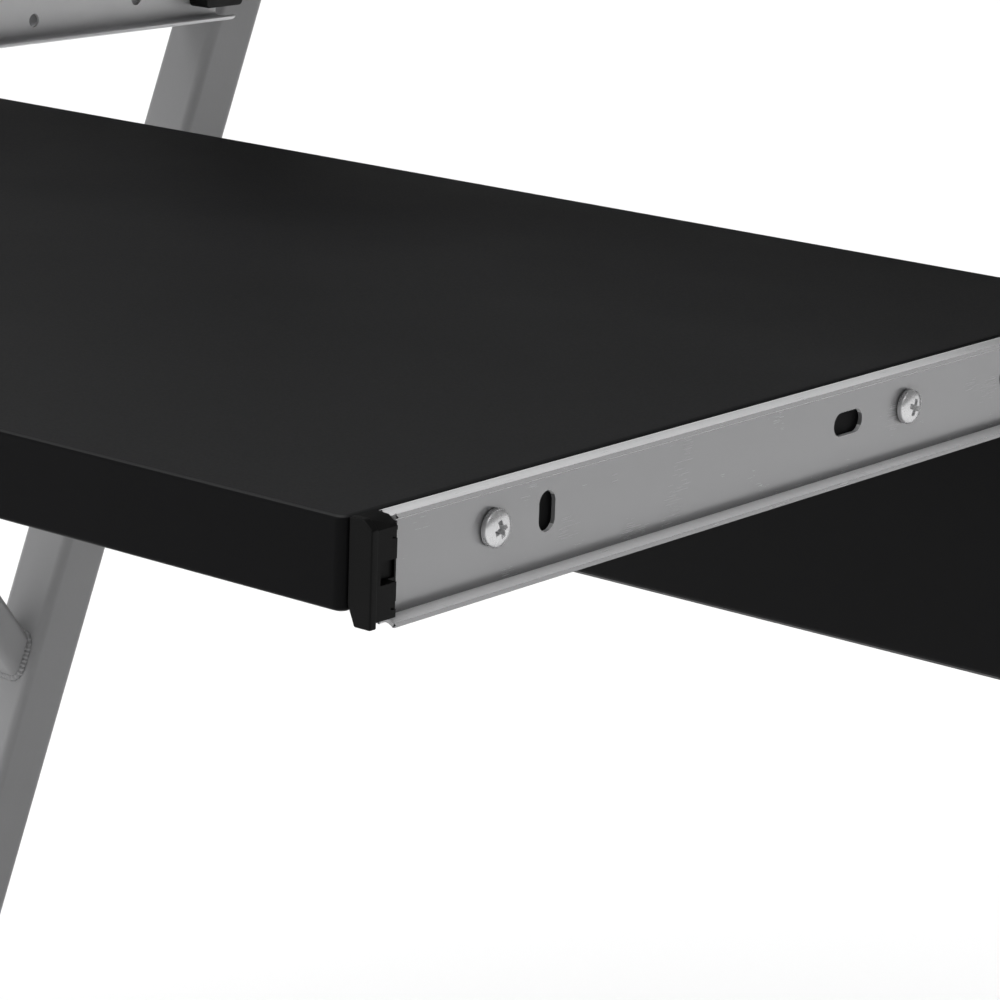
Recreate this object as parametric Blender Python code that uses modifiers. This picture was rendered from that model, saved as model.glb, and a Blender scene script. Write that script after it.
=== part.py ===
"""Computer desk with a pull-out keyboard tray on two ball-bearing slides, modelled with the tray drawn out.

Metres. +Z is up, +Y points to the back of the desk and +X to the sitter's right. The origin is on the floor,
in the middle of the area that the desk and its drawn-out tray stand over. Every piece of a side frame or of
a slide is modelled for the right-hand side, and the left one is its mirror image.
"""

import math

import bmesh
import bpy
from mathutils import Matrix, Vector

# Desktop
DESK_WIDTH = 0.800
DESK_DEPTH = 0.500
DESK_HEIGHT = 0.750
TOP_THICKNESS = 0.018
TOP_CORNER = 0.012
BOARD_EDGE = 0.001

# Fits
GAP = 0.0003  # between two pieces that touch
BORE_CLEARANCE = 0.0004  # round a shank, on the radius
RIGHT, LEFT = 1, -1

# Keyboard tray
TRAY_WIDTH = 0.600
TRAY_DEPTH = 0.289
TRAY_THICKNESS = 0.019
TRAY_DROP = 0.092  # desktop's underside down to the tray's top face
TRAY_CORNER = 0.0025

# Side frames, of square steel tube
TUBE = 0.025
TUBE_WALL = 0.0015
TUBE_CORNER = 0.004
BRACE_TUBE = 0.016
FOOT_WIDTH = 0.030
FOOT_HEIGHT = 0.020
LEG_SLANT = math.radians(22.3)  # from upright, the foot end towards the sitter
LEG_TOP_INSET = 0.0286  # desktop's back edge to the leg's axis, under the top rail
BRACE_RISE = math.radians(53)  # from level
BRACE_JOINT_DROP = 0.291  # tray's top face down to where the brace's axis meets the leg's
TOP_RAIL_FRONT_INSET = 0.018
TOP_RAIL_BACK_INSET = 0.010
FOOT_FRONT_INSET = 0.012
FOOT_BACK_INSET = 0.014
END_CAP_PLATE = 0.003
END_CAP_PLUG = 0.014

# Floor glides
GLIDE_RADIUS = 0.014
GLIDE_HEIGHT = 0.010
GLIDE_STEM_RADIUS = 0.004
GLIDE_STEM_LENGTH = 0.012
GLIDE_INSET = 0.035
GLIDE_BASE_RADIUS = 0.012  # flat that stands on the floor
GLIDE_TOP_RADIUS = 0.0112
GLIDE_RIM = (0.0027, 0.0055)  # heights between which the rim is widest

# Modesty panel
PANEL_HEIGHT = 0.120
PANEL_THICKNESS = 0.018
PANEL_DROP = 0.091  # tray's top face down to where the panel's upper edge crosses the leg's axis
PANEL_BOLT_INSET = 0.022
PANEL_BOLT_RADIUS = 0.003
PANEL_BOLT_BITE = 0.035
PANEL_BOLT_HEAD_RADIUS = 0.0055
PANEL_BOLT_HEAD_HEIGHT = 0.0033

# Slides: an outer member on the frame, an inner member on the tray and a ball cage between them
SLIDE_THICKNESS = 0.0127
OUTER_LENGTH = 0.350
OUTER_WALL = 0.0012
OUTER_BEND = 0.0027
OUTER_CURL = 60  # degrees that the raceway's free edge goes on past its highest line
OUTER_BEHIND_LEG_FACE = 0.0095  # outer member's back end in front of the leg's front face
INNER_HEIGHT = 0.0225
INNER_DEPTH = 0.0055
INNER_LENGTH = 0.345
INNER_WALL = 0.001
INNER_BEND = 0.0012
INNER_SETBACK = 0.0089  # tray's front face to the inner member's front end
SLIDE_OVERLAP = 0.088  # length of the two members that stays engaged with the tray drawn out
STOP_TAB_WIDTH = 0.008
STOP_TAB_THICKNESS = 0.001
STOP_TAB_BITE = 0.0006  # how far a stop tab reaches past the cage's face that meets it

# Ball cage
BALL_RADIUS = 0.0020
GROOVE_DEPTH = 0.0007
GROOVE_LAND = 0.0002  # flat of the flange between its bend and its groove
BALL_CLEARANCE = 0.00035
BALL_PITCH = 0.016
BALLS_IN_ROW = 5
CAGE_WALL = 0.0008
CAGE_FLANGE_REACH = 0.8  # the cage's flange past the balls' middle, in ball radii
CAGE_WEB_GAP = 0.0018  # inner member's lips to the cage's web

# Slide's bumper and front cap, black plastic
BUMPER_LENGTH = 0.021
BUMPER_INSIDE = 0.016
BUMPER_FLANGE_ROOM = 0.0046
BUMPER_ROUND = 0.002
CAP_LENGTH = 0.0075
CAP_DEPTH = 0.0061
CAP_RISE = 0.0011  # cap's lower face above the inner member's
CAP_PLUG = 0.0025
CAP_CHAMFER = 0.002

# Slots and holes along the slides, measured from the inner member's front end or the outer one's back end
INNER_SCREWS = (0.0339, 0.1809, 0.2511)
INNER_UPRIGHT_SLOTS = (0.0512, 0.3060)
INNER_LEVEL_SLOTS = (0.1579, 0.2260)
INNER_UPRIGHT_SLOT = (0.0052, 0.0086)
INNER_LEVEL_SLOT = (0.0110, 0.0054)
INNER_HOLE_RISE = 0.0013  # line of the holes above the inner member's middle
OUTER_SCREWS = (0.026, 0.271)
OUTER_ROUND_HOLES = (0.102, 0.200)
OUTER_ROUND_HOLE_RADIUS = 0.0026
OUTER_ROUND_HOLE_DROP = 0.0091
OUTER_SLOTS = (0.046, 0.150)
OUTER_SLOT = (0.0055, 0.009)
OUTER_SLOT_DROP = 0.0033

# Screws
HEAD_ROUNDING = 0.45  # share of a head's height that its rounded rim takes
TRAY_SCREW_RADIUS = 0.00175
TRAY_SCREW_BITE = 0.013
TRAY_SCREW_HEAD_RADIUS = 0.004
TRAY_SCREW_HEAD_HEIGHT = 0.0023
SLIDE_SCREW_RADIUS = 0.002
SLIDE_SCREW_BITE = 0.008
SLIDE_SCREW_HEAD_RADIUS = 0.0042
SLIDE_SCREW_HEAD_HEIGHT = 0.0016
TOP_SCREW_RADIUS = 0.002
TOP_SCREW_BITE = 0.012
TOP_SCREW_HEAD_RADIUS = 0.004
TOP_SCREW_HEAD_HEIGHT = 0.0023
TOP_SCREW_INSET = 0.060  # from either end of the top rail

# Mesh fineness
CORNER_SEGMENTS = 2
EDGE_SEGMENTS = 2
ROUND_SEGMENTS = 12
GLIDE_SEGMENTS = 16
BALL_SEGMENTS = 8
ARC_SEGMENTS = 4
GROOVE_SEGMENTS = 6
CAGE_BEND_SEGMENTS = 2
SAME_PLACE = 0.000001
PARALLEL = 0.04  # most sine between an edge and the axis that it counts as running along
MOSTLY = 0.9  # least cosine between two directions that count as the same

# Heights that follow
DESK_UNDERSIDE = DESK_HEIGHT - TOP_THICKNESS
TOP_RAIL_Z = DESK_UNDERSIDE - GAP - TUBE / 2
LEG_TOP_Z = TOP_RAIL_Z - TUBE / 2
FOOT_Z = GLIDE_HEIGHT + GAP + FOOT_HEIGHT / 2
FOOT_TOP_Z = FOOT_Z + FOOT_HEIGHT / 2
TRAY_TOP_Z = DESK_UNDERSIDE - TRAY_DROP
SLIDE_Z = TRAY_TOP_Z - INNER_HEIGHT / 2
INNER_HOLE_Z = SLIDE_Z + INNER_HOLE_RISE

BRACE_JOINT_HEIGHT = TRAY_TOP_Z - BRACE_JOINT_DROP
PANEL_BOTTOM_HEIGHT = TRAY_TOP_Z - PANEL_DROP - PANEL_HEIGHT * math.cos(LEG_SLANT)

# Slide sizes that follow, from the tray's side outwards and from the slide's middle line upwards
GROOVE_RADIUS = BALL_RADIUS + BALL_CLEARANCE
BALL_RISE = GROOVE_RADIUS - GROOVE_DEPTH
BALL_UP = INNER_HEIGHT / 2 + BALL_RISE
BALL_FROM_TRAY = GAP + INNER_BEND + GROOVE_LAND + math.sqrt(GROOVE_RADIUS**2 - BALL_RISE**2)
OUTER_HEIGHT = 2 * (BALL_UP + GROOVE_RADIUS + OUTER_WALL)
BUMPER_HEIGHT = OUTER_HEIGHT - 2 * (OUTER_WALL + BUMPER_FLANGE_ROOM)

INNER_REACH = max(INNER_DEPTH, 2 * BALL_FROM_TRAY - GAP - INNER_BEND)
CAGE_WEB_OFFSET = INNER_REACH + CAGE_WEB_GAP

# Distances from the middle plane that follow
TRAY_SIDE_X = TRAY_WIDTH / 2
OUTER_WEB_X = TRAY_SIDE_X + SLIDE_THICKNESS - OUTER_WALL
FRAME_INNER_X = TRAY_SIDE_X + SLIDE_THICKNESS + GAP
FRAME_X = FRAME_INNER_X + TUBE / 2


def leg_to_back(z):
    """Distance from the desktop's back edge to the leg's axis, at a height."""
    return LEG_TOP_INSET + (LEG_TOP_Z - z) * math.tan(LEG_SLANT)


# Distances from front to back that follow, along the line of pieces from the back edge to the tray's front
OUTER_BACK_INSET = leg_to_back(SLIDE_Z) + TUBE / 2 / math.cos(LEG_SLANT) + OUTER_BEHIND_LEG_FACE
OUTER_FRONT_INSET = OUTER_BACK_INSET + OUTER_LENGTH
TRAY_FRONT_INSET = OUTER_FRONT_INSET - SLIDE_OVERLAP + INNER_LENGTH + INNER_SETBACK
TOTAL_DEPTH = max(DESK_DEPTH, TRAY_FRONT_INSET)
BACK_Y = TOTAL_DEPTH / 2
FRONT_Y = BACK_Y - DESK_DEPTH
OUTER_BACK_Y = BACK_Y - OUTER_BACK_INSET
OUTER_FRONT_Y = BACK_Y - OUTER_FRONT_INSET
TRAY_FRONT_Y = BACK_Y - TRAY_FRONT_INSET
INNER_FRONT_Y = TRAY_FRONT_Y + INNER_SETBACK
INNER_BACK_Y = INNER_FRONT_Y + INNER_LENGTH

X, Y, Z = Vector((1, 0, 0)), Vector((0, 1, 0)), Vector((0, 0, 1))
LEG_AXIS = Vector((0, math.sin(LEG_SLANT), math.cos(LEG_SLANT)))
LEG_FORWARD = Vector((0, -math.cos(LEG_SLANT), math.sin(LEG_SLANT)))
BRACE_AXIS = Vector((0, -math.cos(BRACE_RISE), math.sin(BRACE_RISE)))


def leg_point(z):
    """Point on the right leg's axis at a height."""
    return Vector((FRAME_X, BACK_Y - leg_to_back(z), z))


def brace_point(z):
    """Point on the right brace's axis at a height."""
    joint = leg_point(BRACE_JOINT_HEIGHT)
    return joint + BRACE_AXIS * ((z - joint.z) / BRACE_AXIS.z)


def box_matrix(low, high):
    """Matrix that turns a unit cube into the box between two corners."""
    size = (abs(to - start) for start, to in zip(low, high))
    return Matrix.Translation((Vector(low) + Vector(high)) / 2) @ Matrix.Diagonal((*size, 1))


def turned(axis, place, spin=0.0):
    """Matrix that lays +Z along an axis at a place."""
    tilt = axis.to_track_quat("Z", "Y").to_matrix().to_4x4()
    return Matrix.Translation(place) @ tilt @ Matrix.Rotation(spin, 4, "Z")


def edges_along(edges, axis):
    return [e for e in edges if (e.verts[0].co - e.verts[1].co).normalized().cross(axis).length < PARALLEL]


def edges_at(bm, axis, value):
    """Edges whose two ends both lie at a value along an axis."""
    return [e for e in bm.edges if all(abs(v.co.dot(axis) - value) < SAME_PLACE for v in e.verts)]


def bevel(bm, edges, offset, segments):
    bmesh.ops.bevel(
        bm, geom=edges, offset=offset, offset_type="OFFSET", segments=segments, profile=0.5,
        affect="EDGES", material=-1,
    )


def material(name, colour, roughness, metallic):
    """A Principled material, or the one made earlier under that name."""
    made = bpy.data.materials.get(name)
    if made is None:
        made = bpy.data.materials.new(name)
        made.use_nodes = True
        shader = made.node_tree.nodes["Principled BSDF"]
        shader.inputs["Base Color"].default_value = (*colour, 1)
        shader.inputs["Roughness"].default_value = roughness
        shader.inputs["Metallic"].default_value = metallic
        made.diffuse_color = (*colour, 1)
    return made


def black_board():
    return material("black_board", (0.020, 0.020, 0.021), 0.45, 0.0)


def black_panel():
    return material("black_panel_board", (0.010, 0.010, 0.011), 0.5, 0.0)


def grey_frame():
    return material("silver_grey_paint", (0.30, 0.30, 0.31), 0.5, 0.1)


def zinc_steel():
    return material("zinc_plated_steel", (0.55, 0.55, 0.56), 0.25, 1.0)


def black_plastic():
    return material("black_plastic", (0.012, 0.012, 0.012), 0.5, 0.0)


def new_object(bm, name, place, finish, collection, side=RIGHT, parent=None):
    """Object from a bmesh in world coordinates, its origin at a place, mirrored for the left side."""
    place = Vector(place)
    if side == LEFT:
        mirror = Matrix.Diagonal((-1, 1, 1, 1))
        bmesh.ops.transform(bm, matrix=mirror, verts=bm.verts)
        bmesh.ops.reverse_faces(bm, faces=bm.faces)
        place = mirror @ place
    bmesh.ops.translate(bm, vec=-place, verts=bm.verts)
    mesh = bpy.data.meshes.new(name)
    bm.to_mesh(mesh)
    bm.free()
    if finish:
        mesh.materials.append(finish)
    made = bpy.data.objects.new(name, mesh)
    made.location = place - parent.location if parent else place
    made.parent = parent
    collection.objects.link(made)
    return made


def round_rod(bm, radius, start, end, segments=ROUND_SEGMENTS):
    """Closed cylinder between two points."""
    start, end = Vector(start), Vector(end)
    bmesh.ops.create_cone(
        bm, cap_ends=True, segments=segments, radius1=radius, radius2=radius, depth=(end - start).length,
        matrix=turned((end - start).normalized(), (start + end) / 2),
    )


def slot_bar(bm, centre, size, depth):
    """Bar with round ends through a web that faces X: size is (along Y, along Z)."""
    along, up = size
    wide = min(along, up)
    reach = (max(along, up) - wide) / 2
    run = (Y if along > up else Z) * reach
    made = bmesh.ops.create_cone(
        bm, cap_ends=True, segments=ROUND_SEGMENTS, radius1=wide / 2, radius2=wide / 2, depth=depth,
        matrix=turned(X, centre, math.pi / ROUND_SEGMENTS),
    )["verts"]
    for vert in made:
        vert.co += run if (vert.co - centre).dot(run) > 0 else -run


def add_boolean(target, bm, label, side, operation="DIFFERENCE"):
    """Boolean of a target with a helper made from a bmesh in world coordinates."""
    helper = new_object(bm, f"{label}_of_{target.name}", (0, 0, 0), None, HELPERS, side)
    helper.hide_render = True
    helper.display_type = "WIRE"
    cut = target.modifiers.new(label, "BOOLEAN")
    cut.operation = operation
    cut.solver = "EXACT"
    cut.object = helper
    return helper


def smooth_round(made, angle=40):
    """Smooth shading on a round piece, with its hard edges kept."""
    made.data.shade_smooth()
    made.data.set_sharp_from_angle(angle=math.radians(angle))
    return made


def side_name(side):
    return "right" if side == RIGHT else "left"


def tube_object(name, low, high, size, planes, side, corner=TUBE_CORNER):
    """Open-ended tube with round corners, its ends trimmed by planes of (point, outward)."""
    axis = (high - low).normalized()
    across = axis.cross(X).normalized()
    frame = Matrix((X, across, axis)).transposed().to_4x4()
    frame.translation = (low + high) / 2
    length = (high - low).length + 4 * max(size)
    bm = bmesh.new()
    for inset in (TUBE_WALL, 0):
        shape = Matrix.Diagonal((size[0] - 2 * inset, size[1] - 2 * inset, length, 1))
        verts = bmesh.ops.create_cube(bm, size=1, matrix=frame @ shape)["verts"]
        edges = {e for v in verts for e in v.link_edges}
        bevel(bm, edges_along(edges, axis), corner - inset, CORNER_SEGMENTS)
        if inset:
            bmesh.ops.reverse_faces(bm, faces=bm.faces)
    for point, outward in planes:
        everything = bm.verts[:] + bm.edges[:] + bm.faces[:]
        cut = bmesh.ops.bisect_plane(bm, geom=everything, plane_co=point, plane_no=outward, clear_outer=True)
        rim = [part for part in cut["geom_cut"] if isinstance(part, bmesh.types.BMEdge)]
        bmesh.ops.bridge_loops(bm, edges=rim)
    bmesh.ops.recalc_face_normals(bm, faces=bm.faces)
    return smooth_round(new_object(bm, name, (low + high) / 2, grey_frame(), DESK, side))


def make_leg(side):
    foot, head = leg_point(FOOT_TOP_Z + GAP), leg_point(LEG_TOP_Z - GAP)
    leg = tube_object(f"{side_name(side)}_leg", foot, head, (TUBE, TUBE), ((foot, -Z), (head, Z)), side)
    holes = bmesh.new()
    for centre in panel_bolt_places():
        reach = X * (TUBE / 2 + 2 * GAP)
        round_rod(holes, PANEL_BOLT_RADIUS + BORE_CLEARANCE, centre - reach, centre + reach)
    add_boolean(leg, holes, "bolt_holes", side)


def make_brace(side):
    face = leg_point(BRACE_JOINT_HEIGHT) + LEG_FORWARD * (TUBE / 2 + GAP)
    head = brace_point(LEG_TOP_Z - GAP)
    tube_object(
        f"{side_name(side)}_brace", leg_point(BRACE_JOINT_HEIGHT), head, (BRACE_TUBE, BRACE_TUBE),
        ((face, -LEG_FORWARD), (head, Z)), side,
    )


def make_slide_rail(side):
    """Level tube behind the outer slide member, butted between the brace and the leg."""
    back_face = leg_point(SLIDE_Z) + LEG_FORWARD * (TUBE / 2 + GAP)
    brace_back = Vector((0, math.sin(BRACE_RISE), math.cos(BRACE_RISE)))
    front_face = brace_point(SLIDE_Z) + brace_back * (BRACE_TUBE / 2 + GAP)
    rail = tube_object(
        f"{side_name(side)}_slide_rail", brace_point(SLIDE_Z), leg_point(SLIDE_Z), (TUBE, TUBE),
        ((front_face, -brace_back), (back_face, -LEG_FORWARD)), side,
    )
    holes = bmesh.new()
    for inset in OUTER_SCREWS:
        start = Vector((FRAME_INNER_X - TUBE_WALL, OUTER_BACK_Y - inset, SLIDE_Z))
        round_rod(holes, SLIDE_SCREW_RADIUS + BORE_CLEARANCE, start, start + X * (3 * TUBE_WALL))
    add_boolean(rail, holes, "screw_holes", side)


def rail_ends(z, front_inset, back_inset):
    return Vector((FRAME_X, FRONT_Y + front_inset, z)), Vector((FRAME_X, BACK_Y - back_inset, z))


def top_rail_ends():
    return rail_ends(TOP_RAIL_Z, TOP_RAIL_FRONT_INSET, TOP_RAIL_BACK_INSET)


def foot_ends():
    return rail_ends(FOOT_Z, FOOT_FRONT_INSET, FOOT_BACK_INSET)


def top_screw_places():
    """Middles of the two screws' holes along a top rail."""
    front, back = top_rail_ends()
    return front + Y * TOP_SCREW_INSET, back - Y * TOP_SCREW_INSET


def glide_places():
    front, back = foot_ends()
    return front + Y * GLIDE_INSET, back - Y * GLIDE_INSET


def make_top_rail(side):
    front, back = top_rail_ends()
    plate = Y * (END_CAP_PLATE + GAP)
    front, back = front + plate, back - plate
    size = (TUBE, TUBE)
    rail = tube_object(f"{side_name(side)}_top_rail", front, back, size, ((front, -Y), (back, Y)), side)
    holes = bmesh.new()
    for place in top_screw_places():
        round_rod(holes, TOP_SCREW_RADIUS + BORE_CLEARANCE, place - Z * TUBE, place + Z * TUBE)
    add_boolean(rail, holes, "screw_holes", side)


def make_foot_rail(side):
    front, back = foot_ends()
    plate = Y * (END_CAP_PLATE + GAP)
    front, back = front + plate, back - plate
    size = (FOOT_WIDTH, FOOT_HEIGHT)
    rail = tube_object(f"{side_name(side)}_foot_rail", front, back, size, ((front, -Y), (back, Y)), side)
    holes = bmesh.new()
    for place in glide_places():
        round_rod(holes, GLIDE_STEM_RADIUS + BORE_CLEARANCE, place - Z * FOOT_HEIGHT, place)
    add_boolean(rail, holes, "glide_holes", side)


def make_end_cap(name, end, outward, size, side):
    """Moulded cap on a tube's open end: a plate as large as the tube, and a plug that fits inside it."""
    wide, high = size
    low = end - outward * END_CAP_PLATE - X * wide / 2 - Z * high / 2
    bm = bmesh.new()
    bmesh.ops.create_cube(bm, size=1, matrix=box_matrix(low, end + X * wide / 2 + Z * high / 2))
    bevel(bm, edges_along(bm.edges, Y), TUBE_CORNER, CORNER_SEGMENTS)
    inner = [f for f in bm.faces if f.normal.dot(outward) < -MOSTLY]
    bmesh.ops.inset_region(bm, faces=inner, thickness=TUBE_WALL + GAP, use_even_offset=True)
    plug = bmesh.ops.extrude_face_region(bm, geom=inner)["geom"]
    bmesh.ops.delete(bm, geom=inner, context="FACES_ONLY")
    moved = [v for v in plug if isinstance(v, bmesh.types.BMVert)]
    bmesh.ops.translate(bm, vec=-outward * END_CAP_PLUG, verts=moved)
    bmesh.ops.recalc_face_normals(bm, faces=bm.faces)
    smooth_round(new_object(bm, name, end, black_plastic(), DESK, side))


def make_end_caps(side):
    for rail, ends, size in (
        ("top_rail", top_rail_ends(), (TUBE, TUBE)),
        ("foot_rail", foot_ends(), (FOOT_WIDTH, FOOT_HEIGHT)),
    ):
        make_end_cap(f"{side_name(side)}_{rail}_front_cap", ends[0], -Y, size, side)
        make_end_cap(f"{side_name(side)}_{rail}_back_cap", ends[1], Y, size, side)


def make_glide(side, place, where):
    """Turned plastic foot: a domed pad on the floor and a stem up into the foot rail."""
    rim_low, rim_high = GLIDE_RIM
    profile = (
        (0, GLIDE_HEIGHT + GLIDE_STEM_LENGTH), (GLIDE_STEM_RADIUS, GLIDE_HEIGHT + GLIDE_STEM_LENGTH),
        (GLIDE_STEM_RADIUS, GLIDE_HEIGHT), (GLIDE_TOP_RADIUS, GLIDE_HEIGHT),
        (GLIDE_RADIUS, rim_high), (GLIDE_RADIUS, rim_low), (GLIDE_BASE_RADIUS, 0), (0, 0),
    )
    bm = bmesh.new()
    verts = [bm.verts.new((radius, 0, height)) for radius, height in profile]
    for upper, lower in zip(verts, verts[1:]):
        bm.edges.new((upper, lower))
    mesh = bpy.data.meshes.new(f"{side_name(side)}_{where}_glide")
    bm.to_mesh(mesh)
    bm.free()
    mesh.materials.append(black_plastic())
    glide = bpy.data.objects.new(mesh.name, mesh)
    glide.location = (side * place.x, place.y, 0)
    turn = glide.modifiers.new("turned", "SCREW")
    turn.steps = turn.render_steps = GLIDE_SEGMENTS
    turn.use_merge_vertices = True
    turn.merge_threshold = 10 * SAME_PLACE
    DESK.objects.link(glide)


def make_board(bm, low, high, round_edges, corner):
    """Board with its chosen upright corners rounded and all its long edges eased."""
    bmesh.ops.create_cube(bm, size=1, matrix=box_matrix(low, high))
    upright = [e for e in edges_along(bm.edges, Z) if round_edges(e.verts[0].co)]
    bevel(bm, upright, corner, 2 * CORNER_SEGMENTS)
    for level in (low[2], high[2]):
        bevel(bm, edges_at(bm, Z, level), BOARD_EDGE, EDGE_SEGMENTS)


def make_desktop():
    low = (-DESK_WIDTH / 2, FRONT_Y, DESK_UNDERSIDE)
    high = (DESK_WIDTH / 2, BACK_Y, DESK_HEIGHT)
    bm = bmesh.new()
    make_board(bm, low, high, lambda corner: True, TOP_CORNER)
    place = (0, (FRONT_Y + BACK_Y) / 2, DESK_UNDERSIDE)
    top = smooth_round(new_object(bm, "desktop", place, black_board(), DESK))
    holes = bmesh.new()
    for side in (RIGHT, LEFT):
        for place in top_screw_places():
            mouth = Vector((side * place.x, place.y, DESK_UNDERSIDE))
            radius = TOP_SCREW_RADIUS + BORE_CLEARANCE
            round_rod(holes, radius, mouth - Z * GAP, mouth + Z * (TOP_SCREW_BITE + 2 * GAP))
    add_boolean(top, holes, "screw_holes", RIGHT)


def panel_bolt_places():
    """Middles of the two bolts that hold the modesty panel, on the leg's axis."""
    bottom = leg_point(PANEL_BOTTOM_HEIGHT)
    return bottom + LEG_AXIS * PANEL_BOLT_INSET, bottom + LEG_AXIS * (PANEL_HEIGHT - PANEL_BOLT_INSET)


def make_modesty_panel():
    """Board between the two legs, tilted as they are."""
    middle = leg_point(PANEL_BOTTOM_HEIGHT) + LEG_AXIS * PANEL_HEIGHT / 2
    middle.x = 0
    frame = Matrix((X, -LEG_FORWARD, LEG_AXIS)).transposed().to_4x4()
    frame.translation = middle
    length = 2 * (FRAME_INNER_X - GAP)
    bm = bmesh.new()
    shape = Matrix.Diagonal((length, PANEL_THICKNESS, PANEL_HEIGHT, 1))
    bmesh.ops.create_cube(bm, size=1, matrix=frame @ shape)
    bevel(bm, edges_along(bm.edges, X), BOARD_EDGE, EDGE_SEGMENTS)
    panel = new_object(bm, "modesty_panel", middle, black_panel(), DESK)
    holes = bmesh.new()
    for side in (RIGHT, LEFT):
        for place in panel_bolt_places():
            mouth = Vector((side * (FRAME_INNER_X + GAP), place.y, place.z))
            depth = side * (PANEL_BOLT_BITE + 4 * GAP)
            round_rod(holes, PANEL_BOLT_RADIUS + BORE_CLEARANCE, mouth, mouth - X * depth)
    add_boolean(panel, holes, "bolt_holes", RIGHT)


def make_headed_pin(name, face, outward, head_radius, head_height, radius, length, side, parent=None):
    """Screw as a domed head that stands on a face, and a plain shank that goes in behind it."""
    bm = bmesh.new()
    top = face + outward * (GAP + head_height)
    round_rod(bm, head_radius, face + outward * GAP, top)
    crown = [f for f in bm.faces if f.normal.dot(outward) > MOSTLY]
    bevel(bm, [e for f in crown for e in f.edges], head_height * HEAD_ROUNDING, EDGE_SEGMENTS)
    base = [f for f in bm.faces if f.normal.dot(outward) < -MOSTLY]
    bmesh.ops.inset_region(bm, faces=base, thickness=head_radius - radius, use_even_offset=True)
    shank = bmesh.ops.extrude_face_region(bm, geom=base)["geom"]
    bmesh.ops.delete(bm, geom=base, context="FACES_ONLY")
    moved = [v for v in shank if isinstance(v, bmesh.types.BMVert)]
    bmesh.ops.translate(bm, vec=-outward * (length + GAP), verts=moved)
    bmesh.ops.recalc_face_normals(bm, faces=bm.faces)
    collection = TRAY if parent else DESK
    return smooth_round(new_object(bm, name, face, zinc_steel(), collection, side, parent))


def make_desk_fasteners(side):
    prefix = side_name(side)
    for where, place in zip(("front", "back"), top_screw_places()):
        make_headed_pin(
            f"{prefix}_{where}_desktop_screw", place - Z * TUBE / 2, -Z, TOP_SCREW_HEAD_RADIUS,
            TOP_SCREW_HEAD_HEIGHT, TOP_SCREW_RADIUS, TUBE + GAP + TOP_SCREW_BITE, side,
        )
    for where, place in zip(("lower", "upper"), panel_bolt_places()):
        make_headed_pin(
            f"{prefix}_{where}_panel_bolt", place + X * TUBE / 2, X, PANEL_BOLT_HEAD_RADIUS,
            PANEL_BOLT_HEAD_HEIGHT, PANEL_BOLT_RADIUS, TUBE + GAP + PANEL_BOLT_BITE, side,
        )
    for where, inset in zip(("back", "front"), OUTER_SCREWS):
        face = Vector((OUTER_WEB_X, OUTER_BACK_Y - inset, SLIDE_Z))
        make_headed_pin(
            f"{prefix}_{where}_slide_screw", face, -X, SLIDE_SCREW_HEAD_RADIUS,
            SLIDE_SCREW_HEAD_HEIGHT, SLIDE_SCREW_RADIUS, OUTER_WALL + GAP + SLIDE_SCREW_BITE, side,
        )


def arc(centre, radius, start, end, segments=ARC_SEGMENTS):
    """Points (from the tray's side, up) round a centre, between two angles in degrees."""
    turns = [math.radians(start + (end - start) * step / segments) for step in range(segments + 1)]
    return [(centre[0] + radius * math.cos(t), centre[1] + radius * math.sin(t)) for t in turns]


def mirrored_section(upper):
    """A section's whole line, from its upper half given from the free edge to the web."""
    return upper + [(out, -up) for out, up in reversed(upper)]


def inner_section():
    """Outer face of the inner member's sheet: a C with its back to the tray, grooved for the balls."""
    top = INNER_HEIGHT / 2
    fall = math.degrees(math.asin(BALL_RISE / GROOVE_RADIUS))
    groove = arc((BALL_FROM_TRAY, BALL_UP), GROOVE_RADIUS, -fall, fall - 180, GROOVE_SEGMENTS)
    lip = [(INNER_REACH, top)]
    bend = arc((GAP + INNER_BEND, top - INNER_BEND), INNER_BEND, 90, 180)
    return mirrored_section(lip + groove + bend)


def outer_section():
    """Inner face of the outer member's sheet: a C that opens to the tray and curls round the balls."""
    top = OUTER_HEIGHT / 2 - OUTER_WALL
    room = OUTER_BEND - OUTER_WALL
    curl = arc((BALL_FROM_TRAY, BALL_UP), GROOVE_RADIUS, 90 + OUTER_CURL, 90)
    bend = arc((SLIDE_THICKNESS - OUTER_WALL - room, top - room), room, 90, 0)
    return mirrored_section(curl + bend)


def sheet_bar(bm, section, start_y, end_y):
    """Open sheet swept along Y from a right-hand section of (from the tray's side, up) points."""
    verts = [bm.verts.new((TRAY_SIDE_X + out, start_y, SLIDE_Z + up)) for out, up in section]
    edges = [bm.edges.new(pair) for pair in zip(verts, verts[1:])]
    swept = bmesh.ops.extrude_edge_only(bm, edges=edges)["geom"]
    far = [v for v in swept if isinstance(v, bmesh.types.BMVert)]
    bmesh.ops.translate(bm, vec=Y * (end_y - start_y), verts=far)


def add_sheet_thickness(made, wall):
    """Solidify with the swept face kept as it is, the wall growing on the left of its section's line."""
    sheet = made.modifiers.new("sheet_thickness", "SOLIDIFY")
    sheet.thickness = wall
    sheet.offset = -1
    sheet.use_even_offset = True


def stop_tab(bm, from_x, to_x, y):
    half = STOP_TAB_WIDTH / 2
    low = (min(from_x, to_x), y, SLIDE_Z - half)
    high = (max(from_x, to_x), y + STOP_TAB_THICKNESS, SLIDE_Z + half)
    bmesh.ops.create_cube(bm, size=1, matrix=box_matrix(low, high))


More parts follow.
